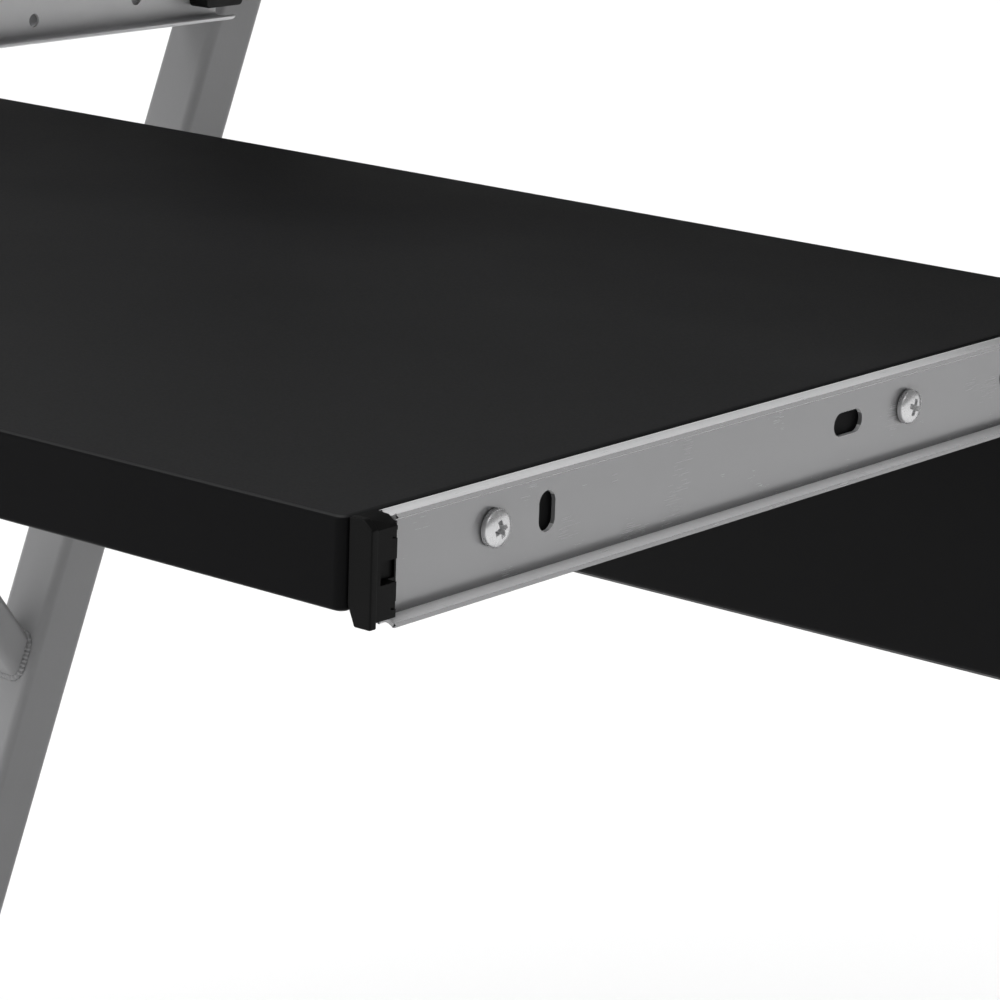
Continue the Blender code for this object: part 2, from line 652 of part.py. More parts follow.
def make_outer_member(side):
    bm = bmesh.new()
    sheet_bar(bm, outer_section(), OUTER_FRONT_Y, OUTER_BACK_Y)
    place = (TRAY_SIDE_X + SLIDE_THICKNESS, OUTER_BACK_Y, SLIDE_Z)
    outer = new_object(bm, f"{side_name(side)}_outer_slide", place, zinc_steel(), DESK, side)
    add_sheet_thickness(outer, OUTER_WALL)
    tab = bmesh.new()
    stop_tab(tab, TRAY_SIDE_X + CAGE_WEB_OFFSET - STOP_TAB_BITE, OUTER_WEB_X + OUTER_WALL / 2, OUTER_FRONT_Y)
    add_boolean(outer, tab, "front_stop", side, "UNION")
    holes = bmesh.new()
    depth = 4 * OUTER_WALL
    for inset in OUTER_SCREWS:
        mouth = Vector((OUTER_WEB_X - OUTER_WALL, OUTER_BACK_Y - inset, SLIDE_Z))
        round_rod(holes, SLIDE_SCREW_RADIUS + BORE_CLEARANCE, mouth, mouth + X * depth)
    for inset in OUTER_ROUND_HOLES:
        mouth = Vector((OUTER_WEB_X - OUTER_WALL, OUTER_BACK_Y - inset, SLIDE_Z - OUTER_ROUND_HOLE_DROP))
        round_rod(holes, OUTER_ROUND_HOLE_RADIUS, mouth, mouth + X * depth)
    for inset in OUTER_SLOTS:
        centre = Vector((OUTER_WEB_X + OUTER_WALL / 2, OUTER_BACK_Y - inset, SLIDE_Z - OUTER_SLOT_DROP))
        slot_bar(holes, centre, OUTER_SLOT, depth)
    add_boolean(outer, holes, "web_holes", side)
    smooth_round(outer)


def make_bumper(side):
    """Plastic stop that plugs the outer member's back end, where the closing inner member meets it."""
    low = Vector((TRAY_SIDE_X + 4 * GAP, OUTER_BACK_Y - BUMPER_INSIDE, SLIDE_Z - BUMPER_HEIGHT / 2))
    high = Vector((OUTER_WEB_X - GAP, low.y + BUMPER_LENGTH, SLIDE_Z + BUMPER_HEIGHT / 2))
    bm = bmesh.new()
    bmesh.ops.create_cube(bm, size=1, matrix=box_matrix(low, high))
    bevel(bm, edges_along(bm.edges, X), BUMPER_ROUND, EDGE_SEGMENTS)
    new_object(bm, f"{side_name(side)}_slide_bumper", (low + high) / 2, black_plastic(), DESK, side)


def make_inner_member(side, parent):
    bm = bmesh.new()
    sheet_bar(bm, inner_section(), INNER_FRONT_Y, INNER_BACK_Y)
    place = (TRAY_SIDE_X, INNER_FRONT_Y, SLIDE_Z)
    inner = new_object(bm, f"{side_name(side)}_inner_slide", place, zinc_steel(), TRAY, side, parent)
    add_sheet_thickness(inner, INNER_WALL)
    tab = bmesh.new()
    tip = TRAY_SIDE_X + CAGE_WEB_OFFSET + CAGE_WALL + STOP_TAB_BITE
    stop_tab(tab, TRAY_SIDE_X + GAP + INNER_WALL / 2, tip, INNER_BACK_Y - STOP_TAB_THICKNESS)
    add_boolean(inner, tab, "back_stop", side, "UNION")
    holes = bmesh.new()
    depth = 4 * INNER_WALL
    web = Vector((TRAY_SIDE_X + GAP + INNER_WALL / 2, 0, 0))
    for run in INNER_SCREWS:
        mouth = web + Vector((-depth / 2, INNER_FRONT_Y + run, INNER_HOLE_Z))
        round_rod(holes, TRAY_SCREW_RADIUS + BORE_CLEARANCE, mouth, mouth + X * depth)
    for runs, size in ((INNER_UPRIGHT_SLOTS, INNER_UPRIGHT_SLOT), (INNER_LEVEL_SLOTS, INNER_LEVEL_SLOT)):
        for run in runs:
            centre = web + Vector((0, INNER_FRONT_Y + run, INNER_HOLE_Z))
            slot_bar(holes, centre, size, depth)
    add_boolean(inner, holes, "web_holes", side)
    smooth_round(inner)


def make_front_cap(side, parent):
    """Plastic cap on the inner member's front end: a block in front of it and a plug inside its channel."""
    back = INNER_FRONT_Y - GAP
    low = Vector((TRAY_SIDE_X + GAP, back - CAP_LENGTH, TRAY_TOP_Z - INNER_HEIGHT + CAP_RISE))
    high = Vector((TRAY_SIDE_X + CAP_DEPTH, back, TRAY_TOP_Z))
    bm = bmesh.new()
    bmesh.ops.create_cube(bm, size=1, matrix=box_matrix(low, high))
    lower = [e for e in edges_along(bm.edges, Y) if e.verts[0].co.z < SLIDE_Z]
    bevel(bm, lower, CAP_CHAMFER, 1)
    name = f"{side_name(side)}_slide_front_cap"
    cap = new_object(bm, name, (low + high) / 2, black_plastic(), TRAY, side, parent)
    plug = bmesh.new()
    room = INNER_WALL + GAP
    height = INNER_HEIGHT / 2 - room - GROOVE_DEPTH
    plug_low = (low.x + room, back - CAP_LENGTH / 2, SLIDE_Z - height)
    plug_high = (TRAY_SIDE_X + INNER_DEPTH - GAP, back + CAP_PLUG, SLIDE_Z + height)
    bmesh.ops.create_cube(plug, size=1, matrix=box_matrix(plug_low, plug_high))
    add_boolean(cap, plug, "plug", side, "UNION")


def make_ball_cage(side):
    """Bent steel strip that holds two rows of balls, one above and one below the inner member."""
    front = OUTER_FRONT_Y + STOP_TAB_THICKNESS + GAP
    back = INNER_BACK_Y - STOP_TAB_THICKNESS - GAP
    free_edge = BALL_FROM_TRAY - CAGE_FLANGE_REACH * BALL_RADIUS
    half = BALL_UP - CAGE_WALL / 2
    bend = CAGE_WALL
    upper = [(free_edge, half)] + arc((CAGE_WEB_OFFSET - bend, half - bend), bend, 90, 0, CAGE_BEND_SEGMENTS)
    bm = bmesh.new()
    sheet_bar(bm, mirrored_section(upper), front, back)
    place = (TRAY_SIDE_X + BALL_FROM_TRAY, (front + back) / 2, SLIDE_Z)
    cage = new_object(bm, f"{side_name(side)}_ball_cage", place, zinc_steel(), DESK, side)
    add_sheet_thickness(cage, CAGE_WALL)
    balls = bmesh.new()
    for step in range(BALLS_IN_ROW):
        y = (front + back) / 2 + BALL_PITCH * (step - (BALLS_IN_ROW - 1) / 2)
        for up in (BALL_UP, -BALL_UP):
            centre = Matrix.Translation((TRAY_SIDE_X + BALL_FROM_TRAY, y, SLIDE_Z + up))
            bmesh.ops.create_uvsphere(
                balls, u_segments=BALL_SEGMENTS, v_segments=BALL_SEGMENTS - 2, radius=BALL_RADIUS,
                matrix=centre,
            )
    add_boolean(cage, balls, "balls", side, "UNION")
    smooth_round(cage)


def make_tray(parent):
    low = (-TRAY_SIDE_X, TRAY_FRONT_Y, TRAY_TOP_Z - TRAY_THICKNESS)
    high = (TRAY_SIDE_X, TRAY_FRONT_Y + TRAY_DEPTH, TRAY_TOP_Z)
    bm = bmesh.new()
    middle_y = TRAY_FRONT_Y + TRAY_DEPTH / 2
    make_board(bm, low, high, lambda corner: corner.y < middle_y, TRAY_CORNER)
    place = (0, TRAY_FRONT_Y, TRAY_TOP_Z)
    board = smooth_round(new_object(bm, "tray_board", place, black_board(), TRAY, RIGHT, parent))
    holes = bmesh.new()
    for side in (RIGHT, LEFT):
        for run in tray_screw_runs():
            mouth = Vector((side * (TRAY_SIDE_X + GAP), INNER_FRONT_Y + run, INNER_HOLE_Z))
            depth = side * (TRAY_SCREW_BITE + 3 * GAP)
            round_rod(holes, TRAY_SCREW_RADIUS + BORE_CLEARANCE, mouth, mouth - X * depth)
    add_boolean(board, holes, "screw_holes", RIGHT)


def tray_screw_runs():
    """Screw places along the inner member that have the board's side behind them."""
    return [run for run in INNER_SCREWS if INNER_SETBACK + run < TRAY_DEPTH - TRAY_SCREW_HEAD_RADIUS]


def make_tray_screws(side, parent):
    for number, run in enumerate(tray_screw_runs(), 1):
        face = Vector((TRAY_SIDE_X + GAP + INNER_WALL, INNER_FRONT_Y + run, INNER_HOLE_Z))
        make_headed_pin(
            f"{side_name(side)}_tray_screw_{number}", face, X, TRAY_SCREW_HEAD_RADIUS,
            TRAY_SCREW_HEAD_HEIGHT, TRAY_SCREW_RADIUS, INNER_WALL + GAP + TRAY_SCREW_BITE, side, parent,
        )


def new_collection(name, parent):
    made = bpy.data.collections.new(name)
    parent.children.link(made)
    return made


for old in list(bpy.data.objects):
    bpy.data.objects.remove(old, do_unlink=True)
WHOLE = new_collection("computer_desk_with_keyboard_tray", bpy.context.scene.collection)
DESK = new_collection("desk", WHOLE)
TRAY = new_collection("keyboard_tray", WHOLE)
HELPERS = new_collection("boolean_helpers", bpy.context.scene.collection)

tray_axis = bpy.data.objects.new("tray_slide_axis", None)
tray_axis.location = (0, TRAY_FRONT_Y, SLIDE_Z)
TRAY.objects.link(tray_axis)

make_desktop()
make_modesty_panel()
make_tray(tray_axis)
for hand in (RIGHT, LEFT):
    make_leg(hand)
    make_brace(hand)
    make_slide_rail(hand)
    make_top_rail(hand)
    make_foot_rail(hand)
    make_end_caps(hand)
    for end_name, glide_place in zip(("front", "back"), glide_places()):
        make_glide(hand, glide_place, end_name)
    make_desk_fasteners(hand)
    make_outer_member(hand)
    make_bumper(hand)
    make_ball_cage(hand)
    make_inner_member(hand, tray_axis)
    make_front_cap(hand, tray_axis)
    make_tray_screws(hand, tray_axis)
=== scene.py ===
"""Finished pieces of a compact computer desk with its keyboard tray drawn out, laid out as an add-on.

Metres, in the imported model's frame: +Z is up, +Y points to the back and +X to the sitter's right. The pieces
of a side frame and of a slide are modelled for the right-hand side and mirrored for the left.
"""

import math

import bmesh
import bpy
from bpy.props import FloatProperty, FloatVectorProperty, IntProperty, PointerProperty
from mathutils import Matrix, Vector


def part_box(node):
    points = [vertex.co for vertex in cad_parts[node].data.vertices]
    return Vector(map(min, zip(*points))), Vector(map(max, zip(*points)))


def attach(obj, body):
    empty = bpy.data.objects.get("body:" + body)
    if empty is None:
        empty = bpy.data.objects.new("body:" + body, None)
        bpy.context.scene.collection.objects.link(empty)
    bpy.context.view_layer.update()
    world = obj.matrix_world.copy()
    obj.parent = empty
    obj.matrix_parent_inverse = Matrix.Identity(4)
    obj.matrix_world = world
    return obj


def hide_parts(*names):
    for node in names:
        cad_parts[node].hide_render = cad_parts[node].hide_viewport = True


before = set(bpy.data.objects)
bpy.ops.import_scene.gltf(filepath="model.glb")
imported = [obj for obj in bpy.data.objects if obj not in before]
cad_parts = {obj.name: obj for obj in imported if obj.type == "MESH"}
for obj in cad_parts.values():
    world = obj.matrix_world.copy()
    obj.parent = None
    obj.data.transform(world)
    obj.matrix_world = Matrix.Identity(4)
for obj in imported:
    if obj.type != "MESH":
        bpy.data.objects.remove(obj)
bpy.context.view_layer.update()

bl_info = {
    "name": "Computer Desk Pieces",
    "version": (1, 0, 0),
    "blender": (4, 5, 0),
    "location": "3D View > Sidebar > Desk",
    "description": "Builds the finished pieces of a computer desk with a pull-out keyboard tray",
    "category": "Add Mesh",
}

X, Y, Z = Vector((1, 0, 0)), Vector((0, 1, 0)), Vector((0, 0, 1))
SIDES = ("right", "left")

# Selecting: metres, the sine between near-parallel lines, a cosine, and radians
SAME_PLACE = 0.000002
PARALLEL = 0.04
FACING = 0.7
MOSTLY = 0.9
SHARP = 1
FIT = 0.0003  # gap between two pieces that touch

# The side frames' lines, from the tubes' own boxes
LEG_LOW, LEG_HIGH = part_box("right_leg")
BRACE_LOW, BRACE_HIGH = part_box("right_brace")
TUBE = LEG_HIGH.x - LEG_LOW.x
BRACE_TUBE = BRACE_HIGH.x - BRACE_LOW.x
LEG_SLANT = math.radians(22.3)
BRACE_RISE = math.radians(53)
LEG_AXIS = Vector((0, math.sin(LEG_SLANT), math.cos(LEG_SLANT)))
LEG_FORWARD = Vector((0, -math.cos(LEG_SLANT), math.sin(LEG_SLANT)))
BRACE_AXIS = Vector((0, -math.cos(BRACE_RISE), math.sin(BRACE_RISE)))
BRACE_BACK = Vector((0, math.sin(BRACE_RISE), math.cos(BRACE_RISE)))
FRAME_X = (LEG_LOW.x + LEG_HIGH.x) / 2
LEG_FOOT = Vector((FRAME_X, LEG_LOW.y + TUBE / 2 / math.cos(LEG_SLANT), LEG_LOW.z))
LEG_HEAD = Vector((FRAME_X, LEG_HIGH.y - TUBE / 2 / math.cos(LEG_SLANT), LEG_HIGH.z))
BRACE_HEAD = Vector((FRAME_X, BRACE_LOW.y + BRACE_TUBE / 2 / math.sin(BRACE_RISE), BRACE_HIGH.z))

# The slide's middle line and the tray's side
RAIL_LOW, RAIL_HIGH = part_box("right_slide_rail")
INNER_LOW, INNER_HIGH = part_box("right_inner_slide")
OUTER_LOW, OUTER_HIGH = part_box("right_outer_slide")
TRAY_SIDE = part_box("tray_board")[1].x
SLIDE_Z = (OUTER_LOW.z + OUTER_HIGH.z) / 2
INNER_HEIGHT = INNER_HIGH.z - INNER_LOW.z

# Slide details. Runs are from the inner member's front end or from the outer one's back end, slots are (along
# Y, along Z), and holes are above or below the middle line.
BALL_CLEARANCE = 0.00035
FLANGE_LAND = 0.0002
CUT_EDGE = 0.00012
STOP_TAB, STOP_TAB_HALF = 0.001, 0.004
INNER_SLOTS = ((0.0512, (0.0052, 0.0086)), (0.3060, (0.0052, 0.0086)),
               (0.1579, (0.0110, 0.0054)), (0.2260, (0.0110, 0.0054)))
INNER_HOLE_RISE = 0.0013
SCREW_HOLE = 0.00215
OUTER_HOLES, OUTER_HOLE_RADIUS, OUTER_HOLE_DROP = (0.102, 0.200), 0.0026, 0.0091
OUTER_SLOTS, OUTER_SLOT, OUTER_SLOT_DROP = (0.046, 0.150), (0.0055, 0.009), 0.0033
HOLE_ARRIS = (0.00022, 0.00025)
CAGE_WALL = CAGE_BEND = 0.0008
CAGE_WINDOWS, CAGE_WINDOW = (0.24, 0.5, 0.76), (0.009, 0.005)
BALL_PITCH = 0.016

# Screws: node, outward direction, head's radius and height, shank's radius, body
SCREWS = [(f"tray_screw_{number}", X, 0.004, 0.0023, 0.00175, "tray") for number in (1, 2, 3)]
for where in ("front", "back"):
    SCREWS.append((f"{where}_desktop_screw", -Z, 0.004, 0.0023, 0.002, "desk"))
    SCREWS.append((f"{where}_slide_screw", -X, 0.0042, 0.0016, 0.002, "desk"))
SCREWS += [(f"{where}_panel_bolt", X, 0.0055, 0.0033, 0.003, "desk") for where in ("lower", "upper")]

# Glide's half profile from the stem's top to the floor ring: share of its radius, and height
GLIDE_PROFILE = (
    (0, 0.022), (0.24, 0.022), (0.286, 0.021), (0.286, 0.0102), (0.74, 0.01), (0.83, 0.0095), (0.95, 0.0072),
    (1, 0.0055), (1, 0.0027), (0.96, 0.0012), (0.86, 0), (0.66, 0), (0.6, 0.0008), (0, 0.0008),
)


def hex_colour(code, alpha=1.0):
    """Linear colour from six sRGB hex digits."""
    parts = [int(code[at:at + 2], 16) / 255 for at in (0, 2, 4)]
    return (*(c / 12.92 if c <= 0.04045 else ((c + 0.055) / 1.055) ** 2.4 for c in parts), alpha)


def length_property(name, description, default):
    """Property for a length in metres."""
    return FloatProperty(name=name, description=description, default=default, min=0, subtype="DISTANCE",
                         unit="LENGTH")


def colour_property(name, description, code):
    """Property for a colour, its default from six sRGB hex digits."""
    return FloatVectorProperty(name=name, description=description, default=hex_colour(code), size=4, min=0,
                               max=1, subtype="COLOR")


class DeskBoardSizes(bpy.types.PropertyGroup):
    edge: length_property("Edge radius", "Rounding of the boards' long edges", 0.0011)
    desktop_corner: length_property("Desktop corner", "Radius of the desktop's corners", 0.012)
    tray_corner: length_property("Tray corner", "Radius of the tray's two front corners", 0.0025)
    board: colour_property("Board", "Colour of the melamine faces", "121213")
    band: colour_property("Edge band", "Colour of the glued edge band", "0a0a0b")


class DeskFrameSizes(bpy.types.PropertyGroup):
    wall: length_property("Tube wall", "Wall of the steel tubes", 0.0015)
    corner: length_property("Tube corner", "Outer corner radius of the steel tubes", 0.004)
    bead: length_property("Weld bead", "Radius of the weld beads", 0.0014)
    paint: colour_property("Paint", "Colour of the powder coat", "8c8c8d")


class DeskSlideSizes(bpy.types.PropertyGroup):
    inner_wall: length_property("Inner sheet", "Sheet thickness of the inner member", 0.001)
    inner_bend: length_property("Inner bend", "Outside bend radius of the inner member", 0.0012)
    inner_depth: length_property("Inner depth", "Reach of the inner member from the tray", 0.0055)
    outer_wall: length_property("Outer sheet", "Sheet thickness of the outer member", 0.0012)
    outer_bend: length_property("Outer bend", "Outside bend radius of the outer member", 0.0027)
    thickness: length_property("Slide thickness", "Tray side to the slide's outer face", 0.0127)
    ball: length_property("Ball radius", "Radius of the bearing balls", 0.002)
    groove: length_property("Groove depth", "Depth of the raceway pressed in the flanges", 0.0007)
    balls: IntProperty(name="Balls in a row", description="Balls in each of the two rows", default=5, min=1)
    zinc: colour_property("Zinc", "Colour of the zinc plating", "939394")
    # pale is the outer members', screws' and balls' own colour; on the inner members' flanges it is a painted
    # highlight
    pale: colour_property("Pale zinc and painted flange highlight", "Colour of the flanges, outer members and screws", "cfcfd0")


class DeskFittingSizes(bpy.types.PropertyGroup):
    recess: FloatProperty(name="Cross recess", description="Recess width over head width", default=0.58,
                          min=0.1, max=0.9, subtype="FACTOR")
    pitch: FloatProperty(name="Thread pitch", description="Pitch of the wood screws' thread", default=0.0016,
                         min=0.0002, subtype="DISTANCE", unit="LENGTH")
    plastic: colour_property("Plastic", "Colour of the moulded black plastic", "090909")


class DeskStageSizes(bpy.types.PropertyGroup):
    lens: FloatProperty(name="Lens", description="Focal length of the camera, in millimetres",
                        default=138.29, min=1)
    floor: colour_property("Floor", "Colour of the floor", "fbfbfb")
    key: FloatProperty(name="Key light", description="Light from the broad ceiling panel, in W/m2",
                       default=2.75, min=0)
    fill: FloatProperty(name="Fill light", description="Power of the front softbox", default=18, min=0,
                        unit="POWER")
    sky: FloatProperty(name="Room", description="Brightness of the room above the pale horizon",
                       default=0.28, min=0)


# Materials


def add_node(tree, kind, inputs=None, **settings):
    """A node with its settings, its inputs filled from values or from other nodes' outputs."""
    made = tree.nodes.new(kind)
    for name, value in settings.items():
        setattr(made, name, value)
    for name, value in (inputs or {}).items():
        if isinstance(value, bpy.types.NodeSocket):
            tree.links.new(value, made.inputs[name])
        else:
            made.inputs[name].default_value = value
    return made


def surface_material(name, colour, metallic, roughness, grain, relief, shade=0.12, stretch=(1, 1, 1),
                     rough_spread=0.08, patch=0.03, **shader_values):
    """Material with a fine grain of a real size, a slow drift in tone and gloss, and a shallow relief.

    grain and relief are in metres: the grain's spacing and the relief's depth. stretch draws the grain out
    along an axis, and patch is the size of the slow drift.
    """
    if name in bpy.data.materials:
        return bpy.data.materials[name]
    made = bpy.data.materials.new(name)
    made.use_nodes = True
    made.diffuse_color = colour
    tree = made.node_tree
    tree.nodes.clear()
    place = add_node(tree, "ShaderNodeTexCoord").outputs["Object"]
    drawn = add_node(tree, "ShaderNodeMapping", {"Vector": place, "Scale": stretch}).outputs["Vector"]
    fine = add_node(tree, "ShaderNodeTexNoise", {"Vector": drawn, "Scale": 1 / grain, "Detail": 3.0,
                                                 "Roughness": 0.55}).outputs["Fac"]
    slow = add_node(tree, "ShaderNodeTexNoise", {"Vector": place, "Scale": 1 / patch, "Detail": 2.0,
                                                 "Roughness": 0.5}).outputs["Fac"]
    mixed = add_node(tree, "ShaderNodeMix", {0: 0.6, 2: fine, 3: slow}, data_type="FLOAT").outputs[0]
    darker = tuple(c * (1 - shade) for c in colour[:3]) + (1,)
    lighter = tuple(min(1, c * (1 + shade)) for c in colour[:3]) + (1,)
    tone = add_node(tree, "ShaderNodeMix", {0: mixed, 6: darker, 7: lighter}, data_type="RGBA").outputs[2]
    gloss = add_node(tree, "ShaderNodeMapRange", {"Value": mixed, "From Min": 0.3, "From Max": 0.7,
                                                  "To Min": roughness - rough_spread,
                                                  "To Max": roughness + rough_spread}).outputs["Result"]
    bump = add_node(tree, "ShaderNodeBump", {"Height": fine, "Distance": relief,
                                             "Strength": 1.0}).outputs["Normal"]
    shader = add_node(tree, "ShaderNodeBsdfPrincipled", {
        "Base Color": tone, "Metallic": metallic, "Roughness": gloss, "Normal": bump, **shader_values,
    })
    add_node(tree, "ShaderNodeOutputMaterial", {"Surface": shader.outputs["BSDF"]})
    return made


def melamine(boards):
    """Melamine-faced chipboard: matt paper foil with a pearl emboss of about half a millimetre."""
    return surface_material("black_melamine_pearl", boards.board, 0.0, 0.5, 0.0006, 0.00001, 0.10,
                            rough_spread=0.05, patch=0.09, **{"Specular IOR Level": 0.2})


def edge_band(boards):
    """Glued ABS edge band: smoother than the face it meets, with faint marks along its length."""
    return surface_material("black_abs_edge_band", boards.band, 0.0, 0.5, 0.0008, 0.000006, 0.06,
                            stretch=(0.15, 0.15, 1), rough_spread=0.06, patch=0.05,
                            **{"Specular IOR Level": 0.05})


def powder_coat(tubes):
    """Silver-grey polyester powder coat on steel: orange peel of about a millimetre, half matt."""
    return surface_material("silver_grey_powder_coat", tubes.paint, 0.0, 0.46, 0.0012, 0.000025, 0.05,
                            rough_spread=0.06, patch=0.04, **{"Specular IOR Level": 0.4})


def bright_zinc(slides):
    """Bright zinc plate on cold-rolled strip: near-mirror, with fine rolling lines along the strip."""
    return surface_material("bright_zinc_plate", slides.zinc, 0.5, 0.24, 0.00012, 0.000003, 0.04,
                            stretch=(1, 0.02, 1), rough_spread=0.05, patch=0.012)


def satin_zinc(slides):
    """Passivated zinc on the outer members: the same strip, dulled by its passivation."""
    return surface_material("satin_zinc_plate", slides.pale, 0.2, 0.42, 0.00015, 0.000012, 0.07,
                            stretch=(1, 0.03, 1), rough_spread=0.06, patch=0.015)


def flange_zinc_painted_highlight(slides):
    """Zinc on the inner members' flanges, coloured paler than the web as a painted highlight."""
    return surface_material("zinc_flange_painted_highlight", slides.pale, 0.15, 0.3, 0.00015, 0.000005, 0.05,
                            stretch=(1, 0.02, 1), rough_spread=0.05, patch=0.012)


def cage_strip(slides):
    """Thin oiled spring steel strip of the ball cages, darker than the plating."""
    return surface_material("oiled_cage_strip", tuple(c * 0.75 for c in slides.zinc[:3]) + (1,), 1.0, 0.3,
                            0.0005, 0.000003, 0.08, stretch=(1, 0.05, 1), patch=0.01)


def bearing_steel(slides):
    """Ground and polished chrome steel of the balls, under a film of grease."""
    return surface_material("polished_bearing_steel", slides.pale, 1.0, 0.1, 0.0006, 0.0000005, 0.04,
                            rough_spread=0.04, patch=0.004)


def screw_zinc(slides):
    """Barrel-plated zinc on the screws: small dings from the barrel and a softer gloss."""
    return surface_material("barrel_zinc_plate", slides.pale, 0.8, 0.28, 0.0007, 0.000008, 0.08,
                            rough_spread=0.08, patch=0.003)


def polypropylene(fittings):
    """Moulded black polypropylene with a fine spark-eroded grain, drawn at a third of a millimetre."""
    return surface_material("moulded_black_polypropylene", fittings.plastic, 0.0, 0.45, 0.00035, 0.000012,
                            0.1, rough_spread=0.07, patch=0.01, **{"IOR": 1.49, "Specular IOR Level": 0.08})


def soft_bumper(fittings):
    """Thermoplastic rubber of the bumpers: duller and blacker than the hard plastic."""
    return surface_material("black_bumper_rubber", tuple(c * 0.8 for c in fittings.plastic[:3]) + (1,), 0.0,
                            0.62, 0.0005, 0.000015, 0.1, patch=0.008, **{"Specular IOR Level": 0.3})


# Mesh helpers


def along(edges, axis):
    """The edges that run along an axis."""
    return [e for e in edges if (e.verts[0].co - e.verts[1].co).normalized().cross(axis).length < PARALLEL]


def bevel(bm, edges, offset, segments):
    return bmesh.ops.bevel(bm, geom=edges, offset=offset, offset_type="OFFSET", segments=segments,
                           profile=0.5, affect="EDGES", material=-1, clamp_overlap=True)


def box_matrix(low, high):
    """Matrix that turns a unit cube into the box between two corners."""
    size = (abs(b - a) for a, b in zip(low, high))
    return Matrix.Translation((Vector(low) + Vector(high)) / 2) @ Matrix.Diagonal((*size, 1))


def add_box(bm, low, high):
    return bmesh.ops.create_cube(bm, size=1, matrix=box_matrix(low, high))["verts"]


def turned(axis, place, spin=0.0):
    """Matrix that lays +Z along an axis at a place."""
    tilt = axis.to_track_quat("Z", "Y").to_matrix().to_4x4()
    return Matrix.Translation(place) @ tilt @ Matrix.Rotation(spin, 4, "Z")


def add_rod(bm, radius, start, end, segments=40):
    """Closed cylinder between two points."""
    run = end - start
    bmesh.ops.create_cone(bm, cap_ends=True, segments=segments, radius1=radius, radius2=radius,
                          depth=run.length, matrix=turned(run.normalized(), (start + end) / 2))


def add_slot(bm, centre, size, depth, segments=40):
    """Bar with round ends through a web that faces X: size is (along Y, along Z)."""
    wide = min(size)
    run = (Y if size[0] > size[1] else Z) * (max(size) - wide) / 2
    made = bmesh.ops.create_cone(bm, cap_ends=True, segments=segments, radius1=wide / 2, radius2=wide / 2,
                                 depth=depth, matrix=turned(X, centre, math.pi / segments))["verts"]
    for vert in made:
        vert.co += run if (vert.co - centre).dot(run) > 0 else -run


def outline_solid(outline, place, run):
    """Closed solid from an outline of (x, z) points at a place, extruded along a run."""
    bm = bmesh.new()
    face = bm.faces.new([bm.verts.new(place + X * across + Z * up) for across, up in outline])
    far = bmesh.ops.extrude_face_region(bm, geom=[face])["geom"]
    bmesh.ops.translate(bm, vec=run, verts=[v for v in far if isinstance(v, bmesh.types.BMVert)])
    bmesh.ops.recalc_face_normals(bm, faces=bm.faces)
    return bm


def shaped(bm, kind, **settings):
    """The mesh that a bmesh becomes under one modifier."""
    mesh = bpy.data.meshes.new("work")
    bm.to_mesh(mesh)
    bm.free()
    work = bpy.data.objects.new("work", mesh)
    bpy.context.scene.collection.objects.link(work)
    modifier = work.modifiers.new(kind, kind)
    for name, value in settings.items():
        setattr(modifier, name, value)
    made = bmesh.new()
    made.from_object(work, bpy.context.evaluated_depsgraph_get())
    bpy.data.objects.remove(work)
    bpy.data.meshes.remove(mesh)
    return made


def combined(bm, other, operation="DIFFERENCE"):
    """Boolean of one bmesh's solids with another's."""
    mesh = bpy.data.meshes.new("cutter")
    bmesh.ops.recalc_face_normals(other, faces=other.faces)
    other.to_mesh(mesh)
    other.free()
    cutter = bpy.data.objects.new("cutter", mesh)
    bpy.context.scene.collection.objects.link(cutter)
    made = shaped(bm, "BOOLEAN", operation=operation, solver="EXACT", object=cutter)
    bpy.data.objects.remove(cutter)
    bpy.data.meshes.remove(mesh)
    return made


def joined(bm, other):
    """Both bmeshes' shells in the first one."""
    mesh = bpy.data.meshes.new("joined")
    other.to_mesh(mesh)
    other.free()
    bm.from_mesh(mesh)
    bpy.data.meshes.remove(mesh)
    return bm


def chamfer_rims(bm, plane_x, offset, inside):
    """Breaks the edges round a web's holes: its face is at plane_x, and inside is its half height."""
    rims = [
        e for e in bm.edges
        if all(abs(v.co.x - plane_x) < SAME_PLACE and abs(v.co.z - SLIDE_Z) < inside for v in e.verts)
        and len(e.link_faces) == 2 and e.calc_face_angle(0) > SHARP
    ]
    bevel(bm, rims, offset, 1)


def make_piece(bm, name, side, body, nodes, materials, smooth=35, even=False):
    """Piece from a bmesh that was modelled for the right-hand side, riding on a body for its CAD nodes."""
    if side == "left":
        bmesh.ops.transform(bm, matrix=Matrix.Diagonal((-1, 1, 1, 1)), verts=bm.verts)
    bmesh.ops.remove_doubles(bm, verts=bm.verts, dist=SAME_PLACE)
    bmesh.ops.recalc_face_normals(bm, faces=bm.faces)
    mesh = bpy.data.meshes.new(name)
    bm.to_mesh(mesh)
    bm.free()
    for finish in materials:
        mesh.materials.append(finish)
    mesh.shade_smooth()
    mesh.set_sharp_from_angle(angle=math.radians(smooth))
    piece = bpy.data.objects.new(name, mesh)
    bpy.context.scene.collection.objects.link(piece)
    if even:
        normals = piece.modifiers.new("even_shading", "WEIGHTED_NORMAL")
        normals.keep_sharp = True
        normals.weight = 100
    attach(piece, body)
    if nodes:
        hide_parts(*nodes)
    return piece


# Boards


def board_solid(low, high, corner, front_only, edge):
    """Board with rounded upright corners and all its long edges eased; its sides take the edge band."""
    bm = bmesh.new()
    add_box(bm, low, high)
    middle = (low.y + high.y) / 2
    upright = [e for e in along(bm.edges, Z) if not front_only or e.verts[0].co.y < middle]
    bevel(bm, upright, corner, 12)
    for level in (low.z, high.z):
        bevel(bm, [e for e in bm.edges if all(abs(v.co.z - level) < SAME_PLACE for v in e.verts)], edge, 5)
    for face in bm.faces:
        face.material_index = int(abs(face.normal.z) < FACING)
    return bm


